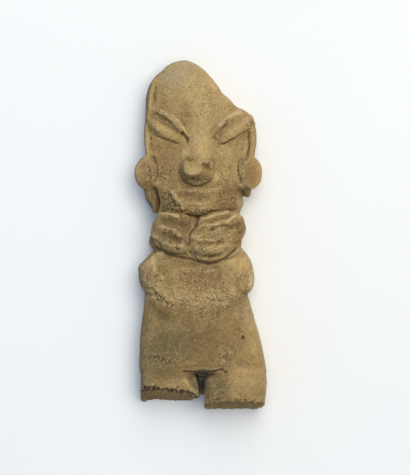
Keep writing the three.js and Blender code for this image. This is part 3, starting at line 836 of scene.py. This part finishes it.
# %% [markdown]
# ## Weather and hand work
#
# Clay shaped by hand is never even. Broad noise gives it slight dents, finer noise the drag of
# fingers, and the finest the grit that shows once the skin has worn. Where the figurine has
# crumbled, noise also decides where the surface has broken into pocks, and grains have fallen out
# and left pits. The flat back gets the same wear, pressed inwards only, so that it still lies flat.

# %% Weather the clay
dents = noise_over(clay.at, 9.0, 2, 3.0)
drag = noise_over(clay.at, 2.6, 3, 11.0)
grit = noise_over(clay.at, 0.8, 2, 23.0)
pocks = smooth_step(0.1, 0.4, noise_over(clay.at, 0.9, 2, 31.0))
lift = 0.2 * dents + (0.06 + 0.1 * rough) * drag + (0.04 + 0.22 * rough) * grit
lift -= 0.5 * rough * pocks
back = smooth_step(0.6, 0.95, -normals[:, 2])
lift = np.where(back > 0.5, -np.abs(lift) * 0.7, lift)
clay.at += normals * lift[:, None]

tree = kdtree.KDTree(len(clay.at))
for i, place in enumerate(clay.at.tolist()):
    tree.insert(place, i)
tree.balance()


def pits(count, likely, small, large, depth):
    """Presses small round pits at random points, chosen where likely is high."""
    for i in chance.choice(len(clay.at), count, replace=False, p=likely / likely.sum()):
        radius = chance.uniform(small, large)
        found = tree.find_range(clay.at[i].tolist(), 2 * radius)
        which = np.array([index for _, index, _ in found])
        gap = np.array([distance for _, _, distance in found]) / radius
        press = depth * chance.uniform(0.4, 1) * np.exp(-(gap**2))
        clay.at[which] -= normals[which] * press[:, None]


pits(1500, 0.25 + rough, small=0.22, large=0.4, depth=0.18)
pits(150, 0.01 + rough**2, small=0.35, large=0.55, depth=0.35)
clay.at[:, 2] = np.maximum(clay.at[:, 2], 0.0)
print("Weathered the clay")

# %% [markdown]
# ## What the surface knows about itself
#
# The clay is darkened where it is hollow and lightened where it stands proud. Both are painted
# light and follow the shape: painted shade in the hollows, with some dirt lodged there, and painted
# highlights on the proud points, with some wear. A point is hollow where its smoothed neighbourhood
# lies above it, and proud where it stands above it. Drawn cuts and ridges are darkened and lightened
# the same way.
# The viewer's right break is paler than the left one, so its mask is halved. All masks are stored
# on the points, where the material can read them.

# %% Masks
def hollowness(rounds):
    """How far each point lies below its smoothed surroundings, in millimetres."""
    smoothed = clay.at.copy()
    for _ in range(rounds):
        clay.relax(smoothed, 0.5)
    return ((smoothed - clay.at) * clay.normals()).sum(1)


fine, broad = hollowness(4), hollowness(60)
masks = {
    # The first four masks carry painted light as well as dirt and wear: shade in hollows and cuts,
    # highlights on proud points and raised ridges.
    "hollow": np.clip(fine / 0.14, 0, 1) * 0.4 + np.clip(broad / 0.8, 0, 1) * 0.6,
    "worn_and_highlight": np.clip(-fine / 0.1, 0, 1) * 0.5 + np.clip(-broad / 0.5, 0, 1) * 0.5,
    # Drawn cuts get painted shade with dirt, and drawn ridges painted highlights with rubbing.
    "dirt_and_crease_shade": np.clip(-clay.drawn / 0.6, 0, 1) ** 1.7,
    "rubbed_and_highlight": np.clip(clay.drawn / 0.45, 0, 1),
    "crumbled": crumbled,
    "broken": broken * np.where(clay.at[:, 0] > 1.0, 0.5, 1.0),
    "cleft_shade": cleft_shade,
}
print("Masks:", {name: round(float(values.mean()), 3) for name, values in masks.items()})

# %% [markdown]
# ## The colour of the fire
#
# An open fire colours clay unevenly, and the ground stains it. On this figurine the forehead, the
# bridge of the nose and the shoulders are a pale buff, the jaws, chest and belly are browner, and
# the right ear disc is rosy. The belly's left half is greyed, partly by smoke and partly as painted
# shade. Specks of salt have dried on the chest, and a grey bloom lies on the crown and the waist.
# Many patches are painted light instead: painted shade down the viewer's left side, under the nose,
# the chin and the collar, below the chest's edges, on the tail and in the gap between the thighs,
# and painted highlights on the eyes' crests, the nose's flat patch and the right arm's outer edge.
# These are soft patches, so lists of ovals are enough: each is x, y, two radii, strength and, where
# it is tilted, its turn. The steep sides get a painted shading as well: browner where they face the
# viewer's left, and greyer low down where they face the right.

# %% Patches of colour
PATCHES = {
    "smoke_and_shade": [
        # Forehead and eyes
        (-7.5, 50.5, 5, 3.5, 0.45, 10), (-12, 44, 2.5, 4.5, 0.4), (15.2, 35, 1.4, 0.8, 0.8, 20),
        (-15.2, 33.6, 0.9, 1.6, 0.5), (-14.6, 31.4, 1.4, 0.9, 0.5, -20),
        # Nose, ear discs and mouth
        # Painted shade on the nose's left wing, beside the left disc and on the tail.
        (-6.5, 21.9, 0.8, 1.7, 0.6), (-18.8, 16.5, 1.8, 2.4, 0.5), (14, 12.8, 2, 2, 1),
        (-15.8, 10.5, 1.9, 5, 1.2), (-11, 9.5, 2.6, 4.4, 0.8, 10), (10.8, 8.6, 2, 1.4, 0.7),
        # Collar, chest and arms
        (-9.5, 0.5, 4.8, 4.4, 0.75, -20), (5, -0.2, 3.4, 1, 0.6, 8), (-15.2, -2.8, 2, 2.6, 1),
        # Painted shade under the collar, down the viewer's left side and below the chest's right edge.
        (-8, -7.6, 4, 1.2, 0.8, -10), (-2.5, -9.2, 5.5, 1.3, 0.8, -5), (-18.8, -13, 1.7, 5, 0.5),
        (13, -17.6, 2, 1.2, 0.7, -20), (10.6, -21.5, 1.5, 3.4, 0.6, -35),
        # Belly and stumps
        # Painted shade down the viewer's left side and in the gap between the thighs; the belly's left
        # half is greyed partly by smoke and partly as painted shade.
        (-9, -33, 7, 7.5, 0.85), (-17.5, -34, 2, 10, 0.5), (-13, -37, 7, 9, 0.85),
        (-2, -46, 1, 3.6, 1, 28), (-18.8, -47, 2.6, 6.5, 1.2), (4.6, -47.5, 3, 6, 1),
        (2.6, -48, 1.8, 5.5, 0.6),
    ],
    "pale": [
        # Forehead and eyes
        (0.2, 50.4, 1.4, 1.4, 0.9), (3.2, 48, 1.8, 4.5, 1, 35), (-2, 47.5, 8, 6, 0.8, -20),
        (-15.7, 43, 0.9, 3.2, 0.9), (-8, 42, 6, 6, 0.5), (5.5, 41, 5, 4, 0.6, -40),
        # Painted highlights on the eyes' crests.
        (0.5, 39, 4, 9, 0.8), (-11.4, 37.9, 5.5, 0.5, 0.9, -38), (9, 36.7, 4.4, 0.8, 1.3, 36),
        (14.5, 35.7, 0.8, 1.1, 1.2, -20), (6.3, 34.3, 1.8, 0.6, 1.4, 38),
        (-12, 33.4, 4.5, 1.2, 0.5, -35), (10.4, 33, 3.6, 1, 0.6, 32), (0, 28.5, 3.2, 5, 0.9),
        (-16.9, 28.5, 0.9, 4.5, 0.9), (16.2, 28.5, 0.9, 5, 0.5), (13.2, 28.2, 1.5, 2.6, 1),
        # Nose, ear discs and mouth
        # Painted light over the shade beside the nose's bridge, and a painted highlight on the nose's
        # flat patch.
        (-4.3, 25.6, 1.4, 2.2, 1), (8, 24.5, 4, 4, 0.5), (-2.5, 20.4, 2.8, 2.2, 0.15),
        (4.6, 17.8, 1.8, 1.6, 1), (0.5, 14.2, 5, 0.9, 0.4), (12.4, 9, 1, 1.8, 1.2),
        (0.4, 8.7, 5.2, 1.1, 0.9),
        # Collar, chest and arms
        # Painted light over the shade in the shoulder's crease and under the collar's right end, and a
        # painted highlight on the right arm's outer edge.
        (5, 2.5, 5, 4, 0.45, 20), (5, -4.2, 5, 2, 0.45, 10), (-12.8, -5.6, 1.6, 1, 1.2, -30),
        (9.8, -7.6, 2.8, 1.1, 1.2, 33), (-15.2, -7.6, 1.7, 3.6, 0.8, -10),
        (13, -8.2, 2.8, 4.6, 0.75, 20), (15.9, -13.6, 1.7, 3.2, 1.4), (-13, -15.5, 1.8, 4, 0.8, 40),
        (-14.6, -18.4, 3.2, 1.2, 1.1, -45), (4.5, -19.5, 8, 3, 0.7, 12), (-6, -19.8, 5, 2, 0.9),
        # Belly and stumps
        (0.5, -28, 1, 3, 0.4), (0.2, -28.6, 1.6, 1.8, 0.8), (15.5, -29, 2.4, 8, 0.4, 12),
        (13, -45.5, 4.5, 5, 0.5), (-9, -45.6, 5, 1.6, 0.5),
    ],
    "brown": [
        # Forehead and eyes
        (-5.6, 41, 3.6, 2.2, 0.45, -20), (6.4, 40, 2.2, 2, 0.45), (-11.8, 36.8, 4.4, 0.9, 0.9, -38),
        (-5.2, 34, 1.3, 1.7, 0.8, -20),
        # Nose, ear discs and mouth
        # Painted shade under the nose's pellet and under the left disc, on the tail and in the gap
        # beside it.
        (1.7, 21.2, 1.2, 0.9, 0.9, -20), (-10, 21, 4.5, 6, 0.25), (-16.2, 19.6, 2.4, 4, 0.5),
        (-5.4, 19.4, 1.2, 1.6, 0.4), (2.2, 17.8, 1.8, 1.6, 0.8), (-1, 17.6, 3.6, 1, 1.2),
        (-0.5, 17, 4, 1.2, 0.8), (-15.8, 15.9, 1.6, 1.6, 1), (0, 13, 9, 2.4, 0.5),
        (-4.8, 12.8, 0.9, 0.7, 1), (-5, 12.7, 2, 1, 0.8), (-6.4, 12.6, 1.9, 0.9, 1, -40),
        (-1.7, 12.5, 0.9, 0.6, 1), (0.5, 11.1, 6.5, 0.9, 0.7), (9.5, 11, 4.6, 4.2, 1.3),
        (-15.8, 10.5, 2.2, 5, 1), (-13.6, 8.6, 0.9, 2, 1.2),
        # Collar, chest and arms
        # Painted shade where the chin shades the left pad, on the right pad's end that the light
        # strikes, under the collar and below the chest's left edge.
        (-4.8, 4.9, 3, 1.3, 1.3, -22), (5, 4.7, 4.6, 0.7, 0.8, 14), (-8.4, 3.6, 4.8, 1.1, 1, -18),
        (11.4, 2.2, 2.4, 1.4, 1, 10), (8.6, 1.8, 2.4, 1, 1, 8), (12.4, 1.8, 2.4, 3, 1.2),
        (11.3, 1.6, 2.4, 1.9, 0.9), (-8.4, 1, 6.4, 5.6, 1.2, -20), (11.2, -2, 1.8, 2, 1.1),
        (4.5, -2.6, 4.2, 0.5, 0.6, 8), (0.5, -5.8, 4.4, 0.6, 0.8, -8), (0.5, -6.4, 4, 0.8, 0.6, -5),
        (-8, -9.6, 2.4, 1.4, 0.7), (-11.5, -10, 3, 1.4, 0.5), (-11, -10, 2.5, 3, 0.4),
        (-15.8, -13.6, 1, 2.6, 0.6, 20), (1, -13.6, 6.5, 2.6, 0.8), (1, -14, 10, 4, 0.4),
        (-15.2, -21.2, 2.4, 1.3, 1.2, -40),
        # Belly and stumps
        # Painted shade below the chest's left edge, down the viewer's left side and in the gap between
        # the thighs.
        (12.5, -23.5, 2.5, 4, 0.5), (-11.5, -24.6, 4.8, 3.2, 1, -35), (-17.5, -30, 2.2, 16, 0.6),
        (0, -32, 12, 10, 0.9), (8, -33, 6, 9, 0.7), (-11, -35, 8, 8, 0.9), (0, -40.9, 11, 1, 1.1),
        (-10, -43, 10, 6, 0.7), (11, -47, 9, 7, 0.35), (5.4, -47.5, 4.6, 6.5, 1.1),
        (-12, -50, 8, 8, 0.4), (8.5, -51.4, 8, 1.6, 0.9),
    ],
    "rosy": [
        # Forehead and eyes
        (-0.6, 50.2, 1.8, 1.8, 0.4), (-8.4, 39.4, 3.2, 2.4, 0.5), (-13, 39.2, 1.2, 0.8, 0.7),
        (-4.5, 37, 3, 2.4, 0.5), (9.6, 36.8, 3.4, 0.7, 0.7, 35), (6, 31.5, 2.4, 4, 0.6),
        (13.6, 29, 1.2, 3, 0.5),
        # Nose, ear discs and mouth
        (-10, 24.5, 3, 5.5, 0.6), (-17.5, 22, 2.4, 2.6, 0.5), (15.6, 19.5, 3.4, 4.6, 0.8),
        (-1, 17.8, 3.6, 1.2, 0.6), (-3.4, 15.6, 4.4, 2.2, 0.8), (-4.8, 12.8, 0.9, 0.7, 1.2),
        (-1.7, 12.5, 0.9, 0.6, 1.1), (9.2, 11, 2.8, 2.8, 0.9),
        # Collar, chest and arms
        (9.4, 4.6, 1.8, 0.8, 0.7, 35), (12.7, 2.4, 1, 1.8, 1), (-6.5, 2, 3.5, 2, 0.4, -20),
        (12.8, -6.3, 0.7, 0.7, 1), (-0.5, -13.2, 6.5, 3, 0.8), (14, -22.5, 1.6, 4, 0.5, 10),
        # Belly and stumps
        (19.3, -38, 1.6, 6, 0.5),
    ],
    "salt_and_highlight": [
        # Salt specks on the chest, and painted highlights on the eyes' crests and the right arm's outer
        # edge.
        (-11.4, 37.9, 1.1, 0.5, 0.5, -35), (9.4, 37, 3, 0.4, 0.4, 36),
        (7.4, 35.6, 1.6, 0.4, 0.4, 38), (3.3, 21.6, 0.4, 0.8, 0.6), (-5.3, -10.2, 0.3, 0.35, 0.7),
        (-14.8, -10.6, 0.3, 0.5, 0.6, 20), (3.9, -10.9, 0.3, 0.3, 0.8),
        (2.5, -11.1, 0.5, 0.22, 0.8, 20), (-11.6, -13.4, 0.22, 0.9, 0.5, 40),
        (15.7, -14, 0.9, 2.4, 0.4), (-13.4, -16.6, 0.25, 0.9, 0.6, 10),
        (-11.2, -21.4, 0.3, 0.25, 0.6),
    ],
    "ashen_and_side_shading": [
        (-4.5, 53.4, 5.5, 1.6, 1, -8), (-7.5, 50, 5.5, 4.5, 0.9, 20), (-14, 37, 2.4, 1.2, 0.4, -30),
        (14.5, 35.4, 2, 1.2, 0.6, 20), (-17.3, 29, 0.9, 4, 0.2), (12, 9.6, 0.8, 2, 0.9),
        (-17.4, -11, 1.6, 4, 0.4), (14.5, -24, 2, 4.5, 0.7, 12),
    ],
    "grime_and_shade": [
        # Forehead and eyes
        (16.1, 35.1, 0.5, 1.3, 0.8, -25),
        # Nose, ear discs and mouth
        # Painted shade in the nostril's crease, under the left disc and the right stub, on the tail and
        # in the gap between tail and jaw.
        (-2.4, 23.4, 1.6, 0.4, 0.6, 10), (-17, 15.8, 2, 1.3, 0.7), (14.2, 12.9, 1.4, 1.4, 1.1),
        (-15.6, 10, 1.6, 4, 0.5), (-9.9, 9.8, 1.3, 4, 0.6, 40), (-13.5, 9.2, 0.9, 2.8, 1.2),
        (-14.4, 8.4, 1, 3, 0.6, -10), (-13.9, 7.4, 1.5, 1.6, 0.7),
        # Collar, chest and arms
        # Painted shade under the chin, in the left pad's furrows, on the right pad's end, under the
        # collar, down the viewer's left side and below the chest's right edge.
        (-4.4, 4.4, 2.6, 1, 0.9, -20), (-8.2, 3.6, 4.4, 0.7, 0.5, -18), (12.2, 2.4, 1.4, 1.6, 0.7),
        (-8.6, -0.6, 3.4, 0.7, 0.5, -20), (-15.2, -3.2, 1.8, 2, 0.2), (-4, -6.6, 1.4, 0.8, 0.7, -30),
        (1, -8, 3.4, 0.6, 0.7), (0.5, -8.6, 9, 0.7, 0.5, -3), (-18.6, -13.4, 0.9, 3.6, 0.35, 10),
        (13.2, -17.6, 1.8, 1, 0.7, -20),
        # Belly and stumps
        # Painted shade below the chest's left edge, in the gap between the thighs and at the viewer's
        # left corner.
        (-12.3, -24, 4.2, 1.7, 0.8, -38), (-12, -38.2, 3.6, 0.7, 0.6, -10),
        (-11, -47.9, 7.4, 0.7, 0.7), (2.3, -48.5, 0.6, 5, 0.8), (-4.4, -48.9, 3, 0.6, 1, -12),
        (-18.4, -49.5, 1.4, 3, 0.6), (9.5, -52, 8, 1.3, 0.55),
    ],
}
masks.update({name: clay.cover(ovals) for name, ovals in PATCHES.items()})
normals = clay.normals()
# Painted shading of the steep sides: browner where they face the viewer's left, greyer low down where
# they face the right.
steep = smooth_step(0.8, 0.4, normals[:, 2]) * (1.0 - broken)
left_side_shading = steep * smooth_step(0.0, -0.4, normals[:, 0])
right_side_shading = steep * smooth_step(0.0, 0.4, normals[:, 0]) * smooth_step(14.5, 11.0, clay.at[:, 2])
masks["brown"] = np.maximum(masks["brown"], 0.85 * left_side_shading)
masks["ashen_and_side_shading"] = np.maximum(masks["ashen_and_side_shading"], 0.9 * right_side_shading)
print("Laid patches over the clay:", ", ".join(PATCHES))

# %% [markdown]
# ## Back into Blender
#
# The worked points go back into the mesh, in metres, with the masks as point attributes. The piece
# rides on the CAD body and replaces the faceted solid.

# %% The piece
skin.vertices.foreach_set("co", (clay.at * MM).ravel())
for name, values in masks.items():
    attribute = skin.attributes.new(name, "FLOAT", "POINT")
    attribute.data.foreach_set("value", values.astype(np.float32))
skin.shade_smooth()
skin.update()

figurine = bpy.data.objects.new("clay_figurine", skin)
scene.collection.objects.link(figurine)
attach(figurine, "root")
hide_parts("figurine")

# %% [markdown]
# ## Shader groups
#
# Each effect that the clay needs is a node group: a mottle of three tones, a layer that follows a
# mask, sand and grains. The groups give out only colours, masks and heights, and the shader itself
# stays in the material.

# %% Group helpers
def group(name, colors, numbers, outputs):
    """A new shader group that takes colours and numbers, and gives out colours or numbers."""
    tree = bpy.data.node_groups.new(name, "ShaderNodeTree")
    for socket in colors:
        tree.interface.new_socket(socket, in_out="INPUT", socket_type="NodeSocketColor")
    for socket, value in numbers.items():
        made = tree.interface.new_socket(socket, in_out="INPUT", socket_type="NodeSocketFloat")
        made.default_value = value
    for socket in outputs:
        kind = "Color" if socket == "Color" else "Float"
        tree.interface.new_socket(socket, in_out="OUTPUT", socket_type="NodeSocket" + kind)
    taken = tree.nodes.new("NodeGroupInput")
    return tree, taken.outputs, tree.nodes.new("NodeGroupOutput").inputs


def sized_texture(tree, kind, size, look):
    """A texture over the object's own place, with features of a linked size in millimetres."""
    place = add(tree, "ShaderNodeTexCoord")
    texture = add(tree, kind, look)
    tree.links.new(place.outputs["Object"], texture.inputs["Vector"])
    tree.links.new(sum_of(tree, "DIVIDE", 1.0 / MM, size), texture.inputs["Scale"])
    return texture.outputs


def noise_node(tree, size, detail, roughness=0.55, shift=(0.0, 0.0, 0.0)):
    """Noise over the object's own place, with features of a size in millimetres."""
    place = add(tree, "ShaderNodeTexCoord")
    moved = add(tree, "ShaderNodeMapping", {"Location": shift})
    look = {"Scale": 1.0 / (size * MM), "Detail": detail, "Roughness": roughness}
    node = add(tree, "ShaderNodeTexNoise", look)
    tree.links.new(place.outputs["Object"], moved.inputs["Vector"])
    tree.links.new(moved.outputs["Vector"], node.inputs["Vector"])
    return node.outputs["Fac"]


# %% [markdown]
# ### Sandy clay
#
# Three tones of one clay, mixed by broad noise and by a finer mottle. Both are the clay's own
# unevenness, from kneading and from the fire.

# %% Sandy clay group
def sandy_group():
    tree, taken, given = group("Sandy clay", ("Light", "Middle", "Dark"), {}, ("Color",))
    broad_noise = noise_node(tree, 6.0, 4.0)
    mottle = noise_node(tree, 2.2, 5.0, 0.65, (0.03, 0.01, 0.02))
    lightened = ranged(tree, broad_noise, 0.42, 0.6, 0.0, 0.6)
    base = mix_colors(tree, lightened, taken["Middle"], taken["Light"])
    darker = mix_colors(tree, ranged(tree, mottle, 0.48, 0.3, 0.0, 0.6), base, taken["Dark"])
    lit = mix_colors(tree, ranged(tree, mottle, 0.52, 0.7, 0.0, 0.7), darker, taken["Light"])
    tree.links.new(lit, given["Color"])
    return tree


# %% [markdown]
# ### Sand and crumbs
#
# The clay is full of sand finer than half a millimetre. It shows as dark and light flecks, which
# come and go in patches. The same group with a larger size makes the crumbs where the surface has
# broken up. The noise also gives the height of the flecks.

# %% Sand group
def sand_group():
    numbers = {"Size": 0.4, "Strength": 0.5, "Brightness": 1.0}
    tree, taken, given = group("Sand", ("Color", "Dark", "Light"), numbers, ("Color", "Height"))
    look = {"Detail": 2.0, "Roughness": 0.75}
    height = sized_texture(tree, "ShaderNodeTexNoise", taken["Size"], look)["Fac"]
    patches = noise_node(tree, 4.0, 3.0, 0.6, (0.02, 0.06, 0.04))
    patchy = ranged(tree, patches, 0.35, 0.65, 0.25, 1.0)
    strength = times(tree, taken["Strength"], patchy)
    dark = times(tree, ranged(tree, height, 0.46, 0.34), strength)
    light = times(tree, ranged(tree, height, 0.54, 0.66), strength)
    flecked = mix_colors(tree, dark, taken["Color"], taken["Dark"])
    flecked = mix_colors(tree, times(tree, light, taken["Brightness"]), flecked, taken["Light"])
    tree.links.new(flecked, given["Color"])
    tree.links.new(times(tree, height, strength), given["Height"])
    return tree


# %% [markdown]
# ### A layer that follows a mask
#
# Painted shade and dirt in the hollows, painted highlights and rubbing on edges, and stains are all
# one idea: a colour laid over another where a mask says so, with the mask's edge broken up by noise
# so that it never looks airbrushed.

# %% Layer group
def layer_group():
    numbers = {"Mask": 0.0, "Ragged": 0.5, "Strength": 1.0}
    tree, taken, given = group("Ragged layer", ("Color", "Layer"), numbers, ("Color",))
    tears = sum_of(tree, "SUBTRACT", noise_node(tree, 1.4, 5.0, 0.75, (0.07, 0.05, 0.01)), 0.5)
    tears = times(tree, tears, taken["Ragged"])
    torn = ranged(tree, sum_of(tree, "ADD", taken["Mask"], tears), 0.05, 0.95)
    held = times(tree, torn, taken["Strength"])
    tree.links.new(mix_colors(tree, held, taken["Color"], taken["Layer"]), given["Color"])
    return tree


# %% [markdown]
# ### Grains
#
# The clay holds grit: pale and dark grains of about half a millimetre. A Voronoi texture gives each
# cell a random number, and only the cells with the lowest numbers show a grain.

# %% Grain group
def grain_group():
    tree, taken, given = group("Grains", (), {"Size": 0.8, "Share": 0.1}, ("Mask",))
    cells = sized_texture(tree, "ShaderNodeTexVoronoi", taken["Size"], {"Randomness": 1.0})
    number = add(tree, "ShaderNodeSeparateColor")
    tree.links.new(cells["Color"], number.inputs["Color"])
    chosen = sum_of(tree, "LESS_THAN", number.outputs["Red"], taken["Share"])
    shape = ranged(tree, cells["Distance"], 0.45, 0.2)
    tree.links.new(times(tree, chosen, shape), given["Mask"])
    return tree


# %% [markdown]
# ## The clay material
#
# The layers go on one after another: the fired clay with the marks of the fire and the painted shade
# and highlights among them, then the breaks, the painted shade in the hollows, and the painted
# highlights on proud points and rubbed ridges. Sand shows through all of these. Grime and the dirt in
# the cuts, both with painted shade, and the painted shade in the gap between the thighs lie over the
# sand, and last come the grains, and the salt with painted highlights. Sand and crumbs also drive the
# bump, which carries only what is too fine for the mesh. Each layer has a colour, the mask that it
# follows, how ragged its edge is and its strength.

# %% Clay material
LIGHT_CLAY = seen(182, 152, 98)
MIDDLE_CLAY = seen(143, 118, 72)
DARK_CLAY = seen(94, 75, 44)
# Smoke grey, also used as painted shade.
SMOKE_AND_SHADE = seen(104, 92, 60)
# Buff for paler clay and wear, also used for painted highlights.
BUFF = seen(216, 185, 127)
# Brown for browner clay, also used as painted shade.
BROWN = seen(105, 81, 45)
ROSE = seen(148, 108, 70)
ASH = seen(168, 154, 124)
# Dark brown of dirt and grains, also used as painted shade.
DIRT_AND_SHADE = seen(78, 55, 24)
# Cream for rubbed ridges, also used for painted highlights.
CREAM = seen(222, 192, 138)
# Dark grey painted shade for the gap between the thighs.
CLEFT_SHADE = seen(74, 70, 64)
BROKEN_CLAY = seen(116, 93, 54)
CHALK = seen(228, 212, 172)
DARK_SAND = seen(88, 66, 32)
LIGHT_SAND = seen(206, 179, 130)

SAND_SIZE = 0.4
CRUMB_SIZE = 0.8
# Painted shade rides on the smoke, brown and hollow layers, painted highlights on the pale, worn and
# rubbed layers, and the ashen layer carries painted shading of the steep sides.
UNDER_SAND = [
    (BUFF, "pale", 0.8, 0.65),
    (BROWN, "brown", 0.8, 0.8),
    (ROSE, "rosy", 0.8, 0.6),
    (SMOKE_AND_SHADE, "smoke_and_shade", 0.8, 0.75),
    (ASH, "ashen_and_side_shading", 1.0, 0.6),
    (BROKEN_CLAY, "broken", 0.5, 0.7),
    (BROWN, "hollow", 0.8, 0.7),
    (BUFF, "worn_and_highlight", 0.8, 0.34),
    (CREAM, "rubbed_and_highlight", 1.0, 0.62),
]
# Grime and the dirt in the cuts carry painted shade too, and the cleft layer is painted shade.
OVER_SAND = [(DIRT_AND_SHADE, "grime_and_shade", 1.4, 0.6), (DIRT_AND_SHADE, "dirt_and_crease_shade", 0.6, 0.7), (CLEFT_SHADE, "cleft_shade", 0.3, 0.9)]


def clay_material():
    material = bpy.data.materials.new("fired clay")
    material.use_nodes = True
    tree = material.node_tree
    shader = tree.nodes["Principled BSDF"]
    sandy, layer, sand, grain = sandy_group(), layer_group(), sand_group(), grain_group()

    def mask(name):
        return add(tree, "ShaderNodeAttribute", attribute_name=name).outputs["Fac"]

    def placed(made, **inputs):
        """A group's outputs, once its inputs are linked or set."""
        node = add(tree, "ShaderNodeGroup", node_tree=made)
        for name, value in inputs.items():
            join(tree, node.inputs[name], value)
        return node.outputs

    def laid(color, over, name, ragged, strength):
        look = {"Layer": over, "Mask": mask(name), "Ragged": ragged, "Strength": strength}
        return placed(layer, Color=color, **look)["Color"]

    color = placed(sandy, Light=LIGHT_CLAY, Middle=MIDDLE_CLAY, Dark=DARK_CLAY)["Color"]
    for over, name, ragged, strength in UNDER_SAND:
        color = laid(color, over, name, ragged, strength)

    crumbled_here = mask("crumbled")
    sands = {"Color": color, "Dark": DARK_SAND, "Light": LIGHT_SAND, "Size": SAND_SIZE}
    sands["Strength"] = ranged(tree, crumbled_here, 0.0, 0.6, 0.75, 1.3)
    sands["Brightness"] = ranged(tree, crumbled_here, 0.0, 0.5, 0.5, 1.15)
    sanded = placed(sand, **sands)
    crumbs = {"Color": sanded["Color"], "Dark": DIRT_AND_SHADE, "Light": LIGHT_SAND, "Size": CRUMB_SIZE}
    crumbly = placed(sand, Strength=times(tree, crumbled_here, 0.9), **crumbs)

    color = crumbly["Color"]
    for over, name, ragged, strength in OVER_SAND:
        color = laid(color, over, name, ragged, strength)
    pale_grains = placed(grain, Size=0.7, Share=0.08)["Mask"]
    dark_grains = placed(grain, Size=0.55, Share=0.12)["Mask"]
    color = mix_colors(tree, times(tree, pale_grains, 0.15), color, CHALK)
    color = mix_colors(tree, times(tree, dark_grains, 0.3), color, DIRT_AND_SHADE)
    # Salt specks, and painted highlights on the crests and the right arm's edge.
    color = laid(color, CHALK, "salt_and_highlight", 1.3, 0.8)
    tree.links.new(color, shader.inputs["Base Color"])
    shader.inputs["Roughness"].default_value = 0.9
    shader.inputs["Specular IOR Level"].default_value = 0.25

    height = sum_of(tree, "ADD", times(tree, sanded["Height"], 0.5), crumbly["Height"])
    bump = add(tree, "ShaderNodeBump", {"Strength": 1.0, "Distance": 0.7 * MM})
    tree.links.new(height, bump.inputs["Height"])
    tree.links.new(bump.outputs["Normal"], shader.inputs["Normal"])
    return material


skin.materials.clear()
skin.materials.append(clay_material())
print("Fired the clay")
